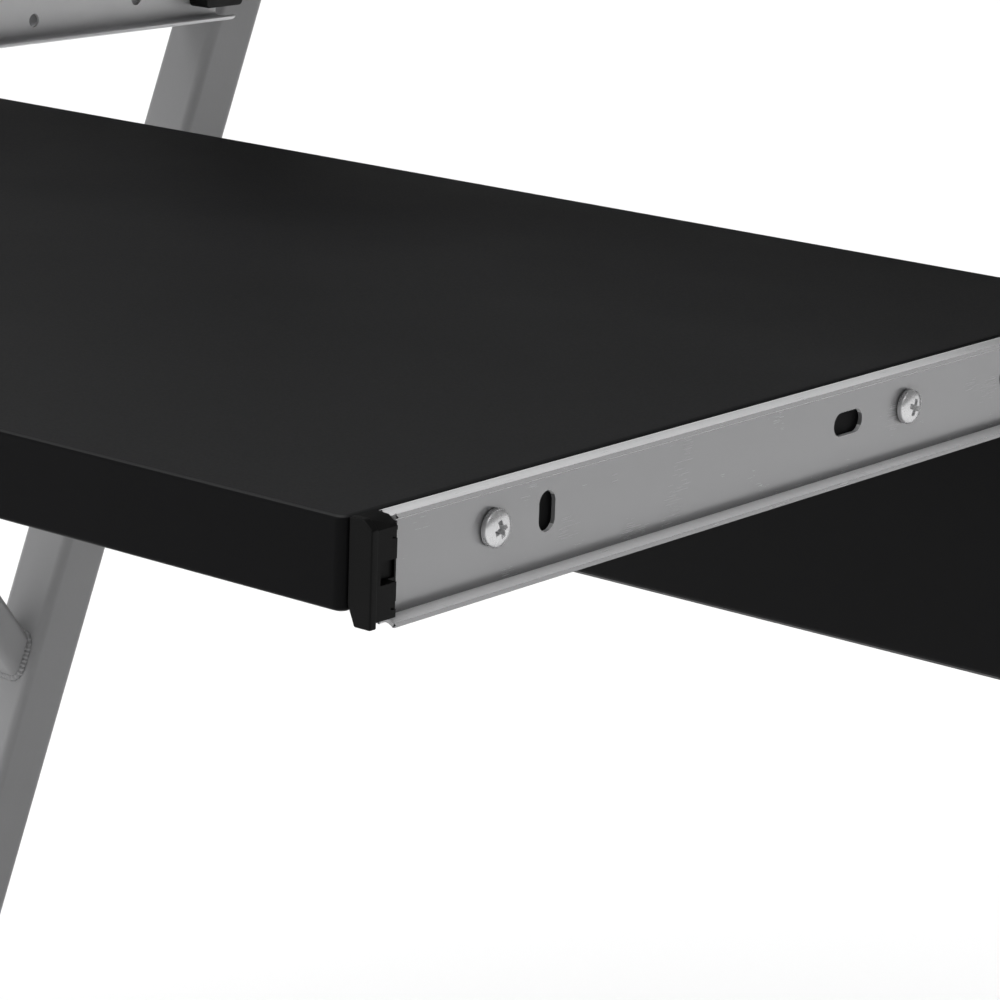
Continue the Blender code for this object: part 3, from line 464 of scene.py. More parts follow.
class DESK_OT_desktop(bpy.types.Operator):
    """Desktop board with rounded corners and an edge band"""

    bl_idname = "desk.desktop"
    bl_label = "Desktop"

    def execute(self, context):
        sizes = context.scene.desk_boards
        bm = board_solid(*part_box("desktop"), sizes.desktop_corner, False, sizes.edge)
        make_piece(bm, "desktop_melamine_board", "right", "desk", ["desktop"],
                   [melamine(sizes), edge_band(sizes)], even=True)
        return {"FINISHED"}


class DESK_OT_tray(bpy.types.Operator):
    """Keyboard tray board, its two front corners rounded"""

    bl_idname = "desk.tray"
    bl_label = "Keyboard tray"

    def execute(self, context):
        sizes = context.scene.desk_boards
        bm = board_solid(*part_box("tray_board"), sizes.tray_corner, True, sizes.edge)
        make_piece(bm, "tray_melamine_board", "right", "tray", ["tray_board"],
                   [melamine(sizes), edge_band(sizes)], even=True)
        return {"FINISHED"}


class DESK_OT_modesty_panel(bpy.types.Operator):
    """Board between the legs, tilted as they are"""

    bl_idname = "desk.modesty_panel"
    bl_label = "Modesty panel"

    def execute(self, context):
        sizes = context.scene.desk_boards
        low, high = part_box("modesty_panel")
        # A tilted board's box is (height sin + thickness cos) deep and (height cos + thickness sin) high.
        sine, cosine = math.sin(LEG_SLANT), math.cos(LEG_SLANT)
        spread = cosine**2 - sine**2
        deep, tall = high.y - low.y, high.z - low.z
        height = (tall * cosine - deep * sine) / spread
        thickness = (deep * cosine - tall * sine) / spread
        frame_axes = Matrix((X, -LEG_FORWARD, LEG_AXIS)).transposed().to_4x4()
        frame_axes.translation = (low + high) / 2
        bm = bmesh.new()
        shape = Matrix.Diagonal((high.x - low.x, thickness, height, 1))
        bmesh.ops.create_cube(bm, size=1, matrix=frame_axes @ shape)
        for face in bm.faces:
            face.material_index = int(abs(face.normal.dot(LEG_FORWARD)) < FACING)
        bevel(bm, bm.edges[:], sizes.edge * 0.8, 4)
        make_piece(bm, "modesty_panel_board", "right", "desk", ["modesty_panel"],
                   [melamine(sizes), edge_band(sizes)], even=True)
        return {"FINISHED"}


# Side frames


def tube_solid(low, high, size, wall, corner, planes, segments=6):
    """Open-ended tube with round corners, its ends trimmed by planes of (point, outward)."""
    axis = (high - low).normalized()
    axes = Matrix((X, axis.cross(X).normalized(), axis)).transposed().to_4x4()
    axes.translation = (low + high) / 2
    length = (high - low).length + 4 * max(size)
    bm = bmesh.new()
    for inset in (wall, 0):
        shape = Matrix.Diagonal((size[0] - 2 * inset, size[1] - 2 * inset, length, 1))
        verts = bmesh.ops.create_cube(bm, size=1, matrix=axes @ shape)["verts"]
        bevel(bm, along({e for v in verts for e in v.link_edges}, axis), corner - inset, segments)
        if inset:
            bmesh.ops.reverse_faces(bm, faces=bm.faces)
    for point, outward in planes:
        whole = bm.verts[:] + bm.edges[:] + bm.faces[:]
        cut = bmesh.ops.bisect_plane(bm, geom=whole, plane_co=point, plane_no=outward, clear_outer=True)
        rim = [part for part in cut["geom_cut"] if isinstance(part, bmesh.types.BMEdge)]
        bmesh.ops.bridge_loops(bm, edges=rim)
    return bm


def on_plane(point, axis, plane_point, normal):
    """Where a line from a point along an axis meets a plane."""
    return point + axis * ((plane_point - point).dot(normal) / axis.dot(normal))


def weld_bead(bm, centre, axis, size, corner, plane_point, normal, radius):
    """Rippled bead round a tube's foot: the tube runs along axis and its end lies on a plane."""
    ripple_step, ripple, drift, drift_rate = 0.0017 / 4, 0.13, 0.05, 0.37
    across = axis.cross(X).normalized()
    half_x, half_up = size[0] / 2, size[1] / 2
    path = []
    for turn in range(4):
        sign_x, sign_up = ((1, 1), (-1, 1), (-1, -1), (1, -1))[turn]
        middle = X * sign_x * (half_x - corner) + across * sign_up * (half_up - corner)
        for step in range(5):
            angle = math.radians(90 * turn + 22.5 * step)
            rim = centre + middle + (X * math.cos(angle) + across * math.sin(angle)) * corner
            path.append(on_plane(rim, axis, plane_point, normal))
    spots = []
    for start, end in zip(path, path[1:] + path[:1]):
        count = max(1, round((end - start).length / ripple_step))
        spots += [start.lerp(end, step / count) for step in range(count)]
    rings = []
    for number, spot in enumerate(spots):
        tangent = (spots[(number + 1) % len(spots)] - spots[number - 1]).normalized()
        swell = 1 + ripple * math.sin(number * math.pi / 2) + drift * math.sin(number * drift_rate)
        ring = bmesh.ops.create_circle(bm, cap_ends=False, segments=8, radius=radius * swell,
                                       matrix=turned(tangent, spot))["verts"]
        rings.append(list({e for v in ring for e in v.link_edges}))
    for ring, following in zip(rings, rings[1:] + rings[:1]):
        bmesh.ops.bridge_loops(bm, edges=ring + following)


def leg_point(height):
    return on_plane(LEG_FOOT, LEG_AXIS, Vector((0, 0, height)), Z)


def brace_point(height):
    return on_plane(BRACE_HEAD, BRACE_AXIS, Vector((0, 0, height)), Z)


def frame_tubes():
    """Each tube's name, its two ends, its size and its trimming planes, for the right-hand frame."""
    rail_z = (RAIL_LOW.z + RAIL_HIGH.z) / 2
    gap = LEG_LOW.x - OUTER_HIGH.x
    leg_front = LEG_FOOT + LEG_FORWARD * (TUBE / 2 + gap)
    brace_foot = on_plane(BRACE_HEAD, BRACE_AXIS, leg_front, LEG_FORWARD)
    behind = brace_foot - BRACE_AXIS * BRACE_TUBE
    rail_front = brace_point(rail_z) + BRACE_BACK * (BRACE_TUBE / 2 + gap)
    square, small = (TUBE, TUBE), (BRACE_TUBE, BRACE_TUBE)
    tubes = [
        ("leg", LEG_FOOT, LEG_HEAD, square, ((LEG_FOOT, -Z), (LEG_HEAD, Z))),
        ("brace", behind, BRACE_HEAD, small, ((brace_foot, -LEG_FORWARD), (BRACE_HEAD, Z))),
        ("slide_rail", brace_point(rail_z), leg_point(rail_z), square,
         ((rail_front, -BRACE_BACK), (leg_front, -LEG_FORWARD))),
    ]
    for name in ("top_rail", "foot_rail"):
        low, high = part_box(f"right_{name}")
        height = (low.z + high.z) / 2
        front, back = Vector((FRAME_X, low.y, height)), Vector((FRAME_X, high.y, height))
        tubes.append((name, front, back, (high.x - low.x, high.z - low.z), ((front, -Y), (back, Y))))
    return tubes


class DESK_OT_frame_tubes(bpy.types.Operator):
    """Legs, braces and rails of both side frames, of painted steel tube"""

    bl_idname = "desk.frame_tubes"
    bl_label = "Frame tubes"

    def execute(self, context):
        sizes = context.scene.desk_frame
        for side in SIDES:
            for name, low, high, size, planes in frame_tubes():
                bm = tube_solid(low, high, size, sizes.wall, sizes.corner, planes)
                make_piece(bm, f"{side}_{name}_tube", side, "desk", [f"{side}_{name}"],
                           [powder_coat(sizes)], even=True)
        return {"FINISHED"}


class DESK_OT_welds(bpy.types.Operator):
    """Weld beads round every joint of the side frames, under the paint"""

    bl_idname = "desk.welds"
    bl_label = "Welds"

    def execute(self, context):
        sizes = context.scene.desk_frame
        welded = [tube for tube in frame_tubes() if tube[0] in ("leg", "brace", "slide_rail")]
        for side in SIDES:
            bm = bmesh.new()
            for _, low, high, size, planes in welded:
                axis = (high - low).normalized()
                for point, outward in planes:
                    weld_bead(bm, low, axis, size, sizes.corner, point, outward, sizes.bead)
            make_piece(bm, f"{side}_frame_welds", side, "desk", [], [powder_coat(sizes)])
        return {"FINISHED"}


def end_cap_solid(low, high, facing, corner, wall):
    """Moulded cap with a dished plate, and a hollow plug that tapers to go in the tube; it faces +Y or -Y."""
    plate, plate_round, dish_rim, dish_slope, dish_depth = 0.003, 0.0009, 0.0022, 0.0006, 0.0004
    plug_wall, plug_taper = 0.0015, 0.0008
    face = low.y if facing < 0 else high.y
    near, far = sorted((face, face - facing * plate))
    bm = bmesh.new()
    add_box(bm, (low.x, near, low.z), (high.x, far, high.z))
    bevel(bm, along(bm.edges, Y), corner, 6)
    front = [f for f in bm.faces if f.normal.y * facing > MOSTLY]
    bevel(bm, [e for f in front for e in f.edges], plate_round, 3)
    dish = [f for f in bm.faces if f.normal.y * facing > 0.99]
    bmesh.ops.inset_region(bm, faces=dish, thickness=dish_rim)
    bmesh.ops.inset_region(bm, faces=dish, thickness=dish_slope, depth=-dish_depth)
    back = [f for f in bm.faces if f.normal.y * facing < -MOSTLY]
    bmesh.ops.inset_region(bm, faces=back, thickness=wall + FIT, use_even_offset=True)
    middle, reach = (low + high) / 2, (high.y - low.y) - plate
    for depth, narrowing in ((reach * 0.9, 0.0), (reach * 0.1, plug_taper)):
        grown = bmesh.ops.extrude_face_region(bm, geom=back)["geom"]
        bmesh.ops.delete(bm, geom=back, context="FACES_ONLY")
        back = [f for f in grown if isinstance(f, bmesh.types.BMFace)]
        moved = list({v for f in back for v in f.verts})
        bmesh.ops.translate(bm, vec=-Y * facing * depth, verts=moved)
        for vert in moved:
            vert.co.x -= math.copysign(narrowing, vert.co.x - middle.x)
            vert.co.z -= math.copysign(narrowing, vert.co.z - middle.z)
    bmesh.ops.inset_region(bm, faces=back, thickness=plug_wall)
    bmesh.ops.translate(bm, vec=Y * facing * reach * 0.7, verts=list({v for f in back for v in f.verts}))
    return bm


class DESK_OT_end_caps(bpy.types.Operator):
    """Moulded caps in the open ends of the top and foot rails"""

    bl_idname = "desk.end_caps"
    bl_label = "End caps"

    def execute(self, context):
        sizes, finish = context.scene.desk_frame, polypropylene(context.scene.desk_fittings)
        for side in SIDES:
            for rail in ("top_rail", "foot_rail"):
                for end, facing in (("front", -1), ("back", 1)):
                    node = f"{rail}_{end}_cap"
                    bm = end_cap_solid(*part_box(f"right_{node}"), facing, sizes.corner, sizes.wall)
                    make_piece(bm, f"{side}_{node}_moulding", side, "desk",
                               [f"{side}_{node}"], [finish], even=True)
        return {"FINISHED"}


class DESK_OT_glides(bpy.types.Operator):
    """Turned plastic glides under the foot rails"""

    bl_idname = "desk.glides"
    bl_label = "Floor glides"

    def execute(self, context):
        for side in SIDES:
            for end in ("front", "back"):
                low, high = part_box(f"right_{end}_glide")
                radius = (high.x - low.x) / 2
                bm = bmesh.new()
                verts = [bm.verts.new((share * radius, 0, up)) for share, up in GLIDE_PROFILE]
                line = [bm.edges.new(pair) for pair in zip(verts, verts[1:])]
                bmesh.ops.spin(bm, geom=verts + line, cent=(0, 0, 0), axis=Z, angle=math.tau, steps=48,
                               use_merge=True)
                bmesh.ops.translate(bm, vec=((low.x + high.x) / 2, (low.y + high.y) / 2, 0), verts=bm.verts)
                make_piece(bm, f"{side}_{end}_glide_turning", side, "desk",
                           [f"{side}_{end}_glide"], [polypropylene(context.scene.desk_fittings)])
        return {"FINISHED"}


# Screws


def screw_solid(face, outward, radius, height, shank, length, fittings, spin):
    """Pan-head screw with a cross recess: its head stands on a face and its thread goes in behind it."""
    rim, core, tip = 0.42 * height, 0.8 * shank, 0.12 * shank
    bm = bmesh.new()
    profile = [(0, height)]
    profile += [(radius * math.sin(a), rim + (height - rim) * math.cos(a)) for a in
                map(math.radians, (15, 30, 42, 53, 63, 72, 80, 86, 90))]
    profile += [(radius, 0.12 * height), (0.97 * radius, 0), (core, 0), (core, -0.86 * length),
                (tip, -length), (0, -length)]
    verts = [bm.verts.new((out, 0, up)) for out, up in profile]
    line = [bm.edges.new(pair) for pair in zip(verts, verts[1:])]
    bmesh.ops.spin(bm, geom=verts + line, cent=(0, 0, 0), axis=Z, angle=math.tau, steps=40, use_merge=True)
    bmesh.ops.remove_doubles(bm, verts=bm.verts, dist=SAME_PLACE)
    bmesh.ops.recalc_face_normals(bm, faces=bm.faces)
    deep, wide, thick = 0.72 * height, fittings.recess * radius, 0.17 * radius
    floor_wide, floor_thick = 0.45, 0.6
    for turn in (0, math.pi / 2):
        wing = bmesh.new()
        made = add_box(wing, (-wide, -thick, height - deep), (wide, thick, height * 1.2))
        for vert in made:
            if vert.co.z < height - deep / 2:
                vert.co.x *= floor_wide
                vert.co.y *= floor_thick
        bmesh.ops.rotate(wing, matrix=Matrix.Rotation(turn, 3, "Z"), verts=wing.verts)
        bm = combined(bm, wing)
    pitch, steps = fittings.pitch, 14
    turns = max(2, int(0.8 * length / pitch))
    root, tooth_half = 0.76 * shank, 0.0005
    thread = bmesh.new()
    tooth = ((root, -tooth_half), (shank, 0), (root, tooth_half))
    start = [thread.verts.new((out, 0, -0.88 * length + up)) for out, up in tooth]
    ring = [thread.edges.new(pair) for pair in zip(start, start[1:] + start[:1])]
    bmesh.ops.spin(thread, geom=start + ring, cent=(0, 0, 0), axis=Z, dvec=Z * pitch / steps,
                   angle=math.tau * turns, steps=steps * turns)
    bmesh.ops.holes_fill(thread, edges=[e for e in thread.edges if e.is_boundary], sides=3)
    bmesh.ops.recalc_face_normals(thread, faces=thread.faces)
    bm = joined(bm, thread)
    bmesh.ops.transform(bm, matrix=turned(outward, face, spin), verts=bm.verts)
    return bm


class DESK_OT_screws(bpy.types.Operator):
    """Cross-recessed screws and bolts with rolled threads"""

    bl_idname = "desk.screws"
    bl_label = "Screws and bolts"

    def execute(self, context):
        fittings, slides = context.scene.desk_fittings, context.scene.desk_slides
        for side in SIDES:
            for number, (node, outward, radius, height, shank, body) in enumerate(SCREWS):
                low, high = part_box(f"right_{node}")
                axis = Vector(map(abs, outward))
                face = (low + high) / 2
                top = high if outward.dot(axis) > 0 else low
                face += axis * (top - face).dot(axis) - outward * height
                length = (high - low).dot(axis) - height
                bm = screw_solid(face, outward, radius, height, shank, length, fittings, 0.35 + 0.9 * number)
                make_piece(bm, f"{side}_{node}_turned", side, body, [f"{side}_{node}"],
                           [screw_zinc(slides)])
        return {"FINISHED"}


# Slides


def arc(centre, radius, start, end, segments=10):
    """Points (from the tray's side, up) round a centre, between two angles in degrees."""
    turns = [math.radians(start + (end - start) * step / segments) for step in range(segments + 1)]
    return [(centre[0] + radius * math.cos(t), centre[1] + radius * math.sin(t)) for t in turns]


def mirrored(upper):
    """A section's whole line from its upper half, given from the free edge to the web."""
    return upper + [(out, -up) for out, up in reversed(upper)]


def slide_lines(sizes):
    """Fit, groove radius, and the balls' middle from the tray's side and above the slide's middle."""
    gap = INNER_LOW.x - TRAY_SIDE
    groove = sizes.ball + BALL_CLEARANCE
    rise = groove - sizes.groove
    ball_out = gap + sizes.inner_bend + FLANGE_LAND + math.sqrt(groove**2 - rise**2)
    return gap, groove, ball_out, INNER_HEIGHT / 2 + rise


def inner_section(sizes):
    gap, groove, ball_out, ball_up = slide_lines(sizes)
    top = INNER_HEIGHT / 2
    fall = math.degrees(math.asin((ball_up - top) / groove))
    race = arc((ball_out, ball_up), groove, -fall, fall - 180, 14)
    bend = arc((gap + sizes.inner_bend, top - sizes.inner_bend), sizes.inner_bend, 90, 180)
    return mirrored([(max(sizes.inner_depth, race[0][0] + FIT), top)] + race + bend)


def outer_section(sizes):
    _, groove, ball_out, ball_up = slide_lines(sizes)
    top = (OUTER_HIGH.z - OUTER_LOW.z) / 2 - sizes.outer_wall
    room = sizes.outer_bend - sizes.outer_wall
    curl = arc((ball_out, ball_up), groove, 150, 90)
    bend = arc((sizes.thickness - sizes.outer_wall - room, top - room), room, 90, 0)
    return mirrored(curl + bend)


def sheet_solid(section, start_y, end_y, wall):
    """Bent strip swept along Y from a section of (from the tray's side, up) points."""
    bm = bmesh.new()
    verts = [bm.verts.new((TRAY_SIDE + out, start_y, SLIDE_Z + up)) for out, up in section]
    edges = [bm.edges.new(pair) for pair in zip(verts, verts[1:])]
    far = bmesh.ops.extrude_edge_only(bm, edges=edges)["geom"]
    moved = [v for v in far if isinstance(v, bmesh.types.BMVert)]
    bmesh.ops.translate(bm, vec=Y * (end_y - start_y), verts=moved)
    bm = shaped(bm, "SOLIDIFY", thickness=wall, offset=-1, use_even_offset=True)
    bmesh.ops.recalc_face_normals(bm, faces=bm.faces)
    sharp = [e for e in bm.edges if len(e.link_faces) == 2 and e.calc_face_angle(0) > SHARP]
    bevel(bm, sharp, CUT_EDGE, 2)
    return bm


class DESK_OT_inner_members(bpy.types.Operator):
    """Inner slide members on the tray's sides, with their slots and screw holes"""

    bl_idname = "desk.inner_members"
    bl_label = "Inner slide members"

    def execute(self, context):
        sizes = context.scene.desk_slides
        gap = slide_lines(sizes)[0]
        front, back = INNER_LOW.y, INNER_HIGH.y
        web = Vector((TRAY_SIDE + gap + sizes.inner_wall / 2, 0, SLIDE_Z))
        depth = 4 * sizes.inner_wall
        for side in SIDES:
            bm = sheet_solid(inner_section(sizes), front, back, sizes.inner_wall)
            tab = bmesh.new()
            add_box(tab, (web.x, back - STOP_TAB, SLIDE_Z - STOP_TAB_HALF),
                    (INNER_HIGH.x, back, SLIDE_Z + STOP_TAB_HALF))
            bm = combined(bm, tab, "UNION")
            holes = bmesh.new()
            for number in (1, 2, 3):
                low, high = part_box(f"right_tray_screw_{number}")
                start = Vector((web.x - depth / 2, (low.y + high.y) / 2, (low.z + high.z) / 2))
                add_rod(holes, SCREW_HOLE, start, start + X * depth)
            for run, size in INNER_SLOTS:
                add_slot(holes, web + Y * (front + run) + Z * INNER_HOLE_RISE, size, depth)
            bm = combined(bm, holes)
            chamfer_rims(bm, web.x + sizes.inner_wall / 2, HOLE_ARRIS[0], INNER_HEIGHT / 2 - 0.003)
            # Faces that face up or down, the flanges, take the paler zinc as a painted highlight; the web
            # keeps the bright zinc
            for face in bm.faces:
                face.material_index = int(abs(face.normal.z) > 0.5)
            make_piece(bm, f"{side}_inner_slide_channel", side, "tray",
                       [f"{side}_inner_slide"], [bright_zinc(sizes), flange_zinc_painted_highlight(sizes)],
                       smooth=30, even=True)
        return {"FINISHED"}


class DESK_OT_outer_members(bpy.types.Operator):
    """Outer slide members on the frames, curled round the balls, with their slots and holes"""

    bl_idname = "desk.outer_members"
    bl_label = "Outer slide members"

    def execute(self, context):
        sizes = context.scene.desk_slides
        front, back = OUTER_LOW.y, OUTER_HIGH.y
        web_x = TRAY_SIDE + sizes.thickness - sizes.outer_wall
        depth = 4 * sizes.outer_wall
        tab_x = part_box("right_ball_cage")[1].x - CAGE_WALL - 0.0006
        for side in SIDES:
            bm = sheet_solid(outer_section(sizes), front, back, sizes.outer_wall)
            tab = bmesh.new()
            add_box(tab, (tab_x, front, SLIDE_Z - STOP_TAB_HALF),
                    (web_x + sizes.outer_wall / 2, front + STOP_TAB, SLIDE_Z + STOP_TAB_HALF))
            bm = combined(bm, tab, "UNION")
            holes = bmesh.new()
            for run in OUTER_HOLES:
                start = Vector((web_x - depth / 2, back - run, SLIDE_Z - OUTER_HOLE_DROP))
                add_rod(holes, OUTER_HOLE_RADIUS, start, start + X * depth)
            for run in OUTER_SLOTS:
                add_slot(holes, Vector((web_x, back - run, SLIDE_Z - OUTER_SLOT_DROP)), OUTER_SLOT, depth)
            bm = combined(bm, holes)
            chamfer_rims(bm, web_x, HOLE_ARRIS[1], 0.0125)
            make_piece(bm, f"{side}_outer_slide_channel", side, "desk",
                       [f"{side}_outer_slide"], [satin_zinc(sizes)], smooth=30, even=True)
        return {"FINISHED"}


class DESK_OT_ball_cages(bpy.types.Operator):
    """Ball cages and their balls, between the two members of each slide"""

    bl_idname = "desk.ball_cages"
    bl_label = "Ball cages"

    def execute(self, context):
        sizes = context.scene.desk_slides
        ball_out, ball_up = slide_lines(sizes)[2:]
        low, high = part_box("right_ball_cage")
        web = high.x - TRAY_SIDE - CAGE_WALL
        half = ball_up - CAGE_WALL / 2
        upper = [(ball_out - 0.8 * sizes.ball, half)]
        upper += arc((web - CAGE_BEND, half - CAGE_BEND), CAGE_BEND, 90, 0, 6)
        middle = (low.y + high.y) / 2
        places = [
            Vector((TRAY_SIDE + ball_out, middle + BALL_PITCH * (step - (sizes.balls - 1) / 2), SLIDE_Z + up))
            for step in range(sizes.balls) for up in (ball_up, -ball_up)
        ]
        for side in SIDES:
            bm = sheet_solid(mirrored(upper), low.y, high.y, CAGE_WALL)
            windows, balls = bmesh.new(), bmesh.new()
            for place in places:
                add_rod(windows, sizes.ball - 0.0001, place - Z * sizes.ball, place + Z * sizes.ball, 24)
                bmesh.ops.create_icosphere(balls, subdivisions=3, radius=sizes.ball,
                                           matrix=Matrix.Translation(place))
            for run in CAGE_WINDOWS:
                centre = Vector((TRAY_SIDE + web, low.y + run * (high.y - low.y), SLIDE_Z))
                add_slot(windows, centre, CAGE_WINDOW, 4 * CAGE_WALL, 24)
            bm = combined(bm, windows)
            make_piece(bm, f"{side}_ball_cage_strip", side, f"{side}_cage",
                       [f"{side}_ball_cage"], [cage_strip(sizes)], smooth=30, even=True)
            make_piece(balls, f"{side}_slide_balls", side, f"{side}_cage", [],
                       [bearing_steel(sizes)], smooth=60)
        return {"FINISHED"}


class DESK_OT_bumpers(bpy.types.Operator):
    """Moulded bumpers in the back ends of the outer members"""

    bl_idname = "desk.bumpers"
    bl_label = "Slide bumpers"

    def execute(self, context):
        low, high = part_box("right_slide_bumper")
        rib_runs, rib_gap, rib_depth, rib_end = (0.30, 0.46, 0.62), 0.0022, 0.003, 0.004
        for side in SIDES:
            bm = bmesh.new()
            add_box(bm, low, high)
            bevel(bm, along(bm.edges, X), 0.002, 6)
            bevel(bm, [e for e in bm.edges if e.calc_face_angle(0) > SHARP], 0.0005, 3)
            cuts = bmesh.new()
            for run in rib_runs:
                y = low.y + run * (high.y - low.y)
                add_box(cuts, (low.x - rib_depth, y, low.z + rib_end),
                        (low.x + rib_depth, y + rib_gap, high.z - rib_end))
            bm = combined(bm, cuts)
            make_piece(bm, f"{side}_slide_bumper_block", side, "desk",
                       [f"{side}_slide_bumper"], [soft_bumper(context.scene.desk_fittings)], even=True)
        return {"FINISHED"}


def slide_cap_solid(low, high, sizes):
    """Front plate, sleeve before the inner member's end, plug in it, and recesses in the outer side."""
    back, plate, skin = INNER_LOW.y - FIT, 0.002, 0.0005
    wide, tall = high.x - low.x, high.z - low.z
    outline = ((0, tall), (wide - 0.0022, tall), (wide, tall - 0.0018), (wide, 0), (0.0017, 0), (0, 0.0041))
    sleeve_outline = (
        (0.0002, tall - 0.0001), (wide - 0.0024, tall - 0.0003), (wide - 0.0001, tall - 0.0021),
        (wide - 0.0001, 0.0013), (0.0021, 0.0013), (0.0002, 0.0045),
    )
    bm = outline_solid(outline, low, Y * plate)
    bevel(bm, bm.edges[:], 0.00035, 3)
    sleeve = outline_solid(sleeve_outline, low + Y * (plate - skin), Y * (back - low.y - plate + skin))
    bm = combined(bm, sleeve, "UNION")
    plug = bmesh.new()
    room, plug_reach = sizes.inner_wall + FIT, 0.0034
    half = INNER_HEIGHT / 2 - room - sizes.groove - 0.0001
    add_box(plug, (low.x + room, back - 2 * skin, SLIDE_Z - half),
            (low.x + plug_reach, high.y, SLIDE_Z + half))
    bm = combined(bm, plug, "UNION")
    recess = bmesh.new()
    middle = (low.z + high.z) / 2
    past_x, past_y = high.x + 2 * skin, high.y - skin
    add_box(recess, (high.x - 0.0030, low.y + plate + 0.0009, middle - 0.0024),
            (past_x, past_y, middle + 0.0022))
    for up in (-0.0078, 0.0062):
        add_box(recess, (high.x - 0.0012, back - 0.0014, middle + up), (past_x, past_y, middle + up + 0.0016))
    return combined(bm, recess)


class DESK_OT_slide_caps(bpy.types.Operator):
    """Moulded caps on the inner members' front ends, with their plugs and side recesses"""

    bl_idname = "desk.slide_caps"
    bl_label = "Slide front caps"

    def execute(self, context):
        for side in SIDES:
            bm = slide_cap_solid(*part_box("right_slide_front_cap"), context.scene.desk_slides)
            make_piece(bm, f"{side}_slide_front_cap_moulding", side, "tray",
                       [f"{side}_slide_front_cap"], [polypropylene(context.scene.desk_fittings)], even=True)
        return {"FINISHED"}


# Stage


FLOOR_RADIUS = 30
HORIZON, CLEAR_SKY = 0.02, 0.14  # direction's Z between which the room darkens from white to its own tone
PANEL_SHINES, PANEL_SPREAD = Vector((0.12, 0.42, -1)), math.radians(75)
SOFTBOX_PLACE, SOFTBOX_AIM, SOFTBOX_SIZE = (-1.4, -3.2, 1.8), (0, 0, 0.6), (2.0, 1.6)
CAMERA_PLACE = (0.755785, -0.873309, 0.829894)
CAMERA_TURNS = ((38.64, "Z"), (75.021, "X"), (1.957, "Z"))  # degrees


def area_light(name, place, aim, size, power):
    light = bpy.data.lights.new(name, "AREA")
    light.shape = "RECTANGLE"
    light.size, light.size_y = size
    light.energy = power
    holder = bpy.data.objects.new(name, light)
    holder.location = place
    holder.rotation_euler = (Vector(aim) - Vector(place)).to_track_quat("-Z", "Y").to_euler()
    bpy.context.scene.collection.objects.link(holder)


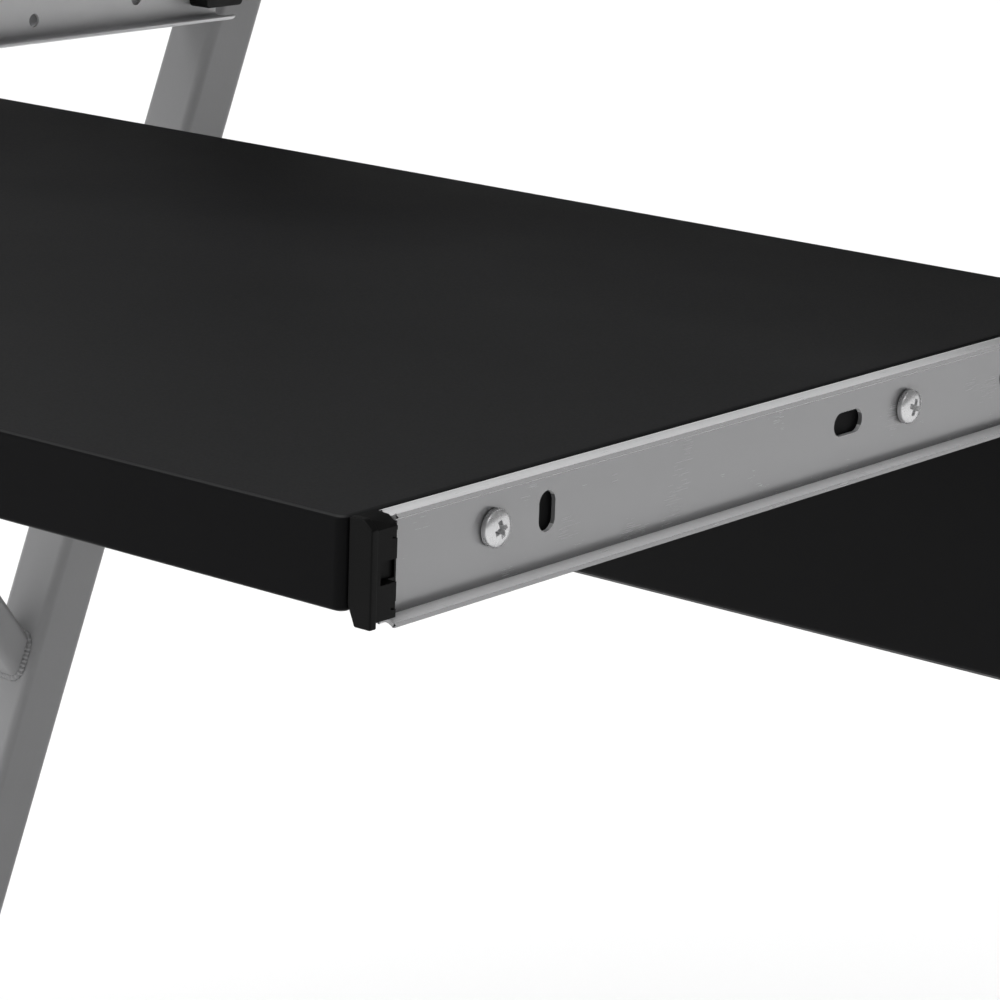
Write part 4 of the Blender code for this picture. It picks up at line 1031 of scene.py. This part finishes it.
class DESK_OT_stage(bpy.types.Operator):
    """Pale floor, soft lights and the camera"""

    bl_idname = "desk.stage"
    bl_label = "Stage"

    def execute(self, context):
        sizes = context.scene.desk_stage
        scene = context.scene
        bm = bmesh.new()
        bmesh.ops.create_circle(bm, cap_ends=True, segments=64, radius=FLOOR_RADIUS)
        mesh = bpy.data.meshes.new("studio_floor")
        bm.to_mesh(mesh)
        bm.free()
        # Matt painted studio floor, without visible grain at this distance.
        mesh.materials.append(surface_material(
            "matt_studio_floor", sizes.floor, 0.0, 0.9, 0.4, 0.00001, 0.005, rough_spread=0.02, patch=2.0,
            **{"Specular IOR Level": 0.1}))
        floor = bpy.data.objects.new("studio_floor", mesh)
        scene.collection.objects.link(floor)
        world = bpy.data.worlds.new("soft_room")
        world.use_nodes = True
        tree = world.node_tree
        tree.nodes.clear()
        direction = add_node(tree, "ShaderNodeTexCoord").outputs["Generated"]
        height = add_node(tree, "ShaderNodeSeparateXYZ", {"Vector": direction}).outputs["Z"]
        strength = add_node(tree, "ShaderNodeMapRange", {
            "Value": height, "From Min": HORIZON, "From Max": CLEAR_SKY, "To Min": 1.0, "To Max": sizes.sky,
        }, interpolation_type="SMOOTHSTEP").outputs["Result"]
        background = add_node(tree, "ShaderNodeBackground", {"Color": (1, 1, 1, 1), "Strength": strength})
        add_node(tree, "ShaderNodeOutputWorld", {"Surface": background.outputs["Background"]})
        scene.world = world
        ceiling = bpy.data.lights.new("ceiling_panel", "SUN")
        ceiling.energy = sizes.key
        ceiling.angle = PANEL_SPREAD
        holder = bpy.data.objects.new("ceiling_panel", ceiling)
        holder.rotation_euler = PANEL_SHINES.to_track_quat("-Z", "Y").to_euler()
        scene.collection.objects.link(holder)
        area_light("front_softbox", SOFTBOX_PLACE, SOFTBOX_AIM, SOFTBOX_SIZE, sizes.fill)
        scene.view_settings.view_transform = "Standard"
        lens = bpy.data.cameras.new("camera")
        lens.lens = sizes.lens
        lens.sensor_width = 36
        lens.clip_start, lens.clip_end = 0.05, 100
        camera = bpy.data.objects.new("camera", lens)
        camera.matrix_world = Matrix.Translation(CAMERA_PLACE)
        for degrees, axis in CAMERA_TURNS:
            camera.matrix_world = camera.matrix_world @ Matrix.Rotation(math.radians(degrees), 4, axis)
        scene.collection.objects.link(camera)
        scene.camera = camera
        return {"FINISHED"}


OPERATORS = (
    DESK_OT_desktop, DESK_OT_tray, DESK_OT_modesty_panel, DESK_OT_frame_tubes, DESK_OT_welds,
    DESK_OT_end_caps, DESK_OT_glides, DESK_OT_screws, DESK_OT_inner_members, DESK_OT_outer_members,
    DESK_OT_ball_cages, DESK_OT_bumpers, DESK_OT_slide_caps, DESK_OT_stage,
)
GROUPS = {
    "desk_boards": DeskBoardSizes, "desk_frame": DeskFrameSizes, "desk_slides": DeskSlideSizes,
    "desk_fittings": DeskFittingSizes, "desk_stage": DeskStageSizes,
}


class DESK_PT_pieces(bpy.types.Panel):
    """Sizes, colours and pieces of the desk"""

    bl_idname = "DESK_PT_pieces"
    bl_label = "Computer Desk"
    bl_space_type = "VIEW_3D"
    bl_region_type = "UI"
    bl_category = "Desk"

    def draw(self, context):
        for name in GROUPS:
            box = self.layout.box()
            group = getattr(context.scene, name)
            for prop in group.bl_rna.properties:
                if prop.identifier not in ("rna_type", "name"):
                    box.prop(group, prop.identifier)
        for operator in OPERATORS:
            self.layout.operator(operator.bl_idname)


def register():
    for made in (*GROUPS.values(), *OPERATORS, DESK_PT_pieces):
        bpy.utils.register_class(made)
    for name, group in GROUPS.items():
        setattr(bpy.types.Scene, name, PointerProperty(type=group))


def unregister():
    for name in GROUPS:
        delattr(bpy.types.Scene, name)
    for made in reversed((*GROUPS.values(), *OPERATORS, DESK_PT_pieces)):
        bpy.utils.unregister_class(made)


def main():
    register()
    for operator in OPERATORS:
        getattr(bpy.ops.desk, operator.bl_idname.split(".")[1])()


if __name__ == "__main__":
    main()
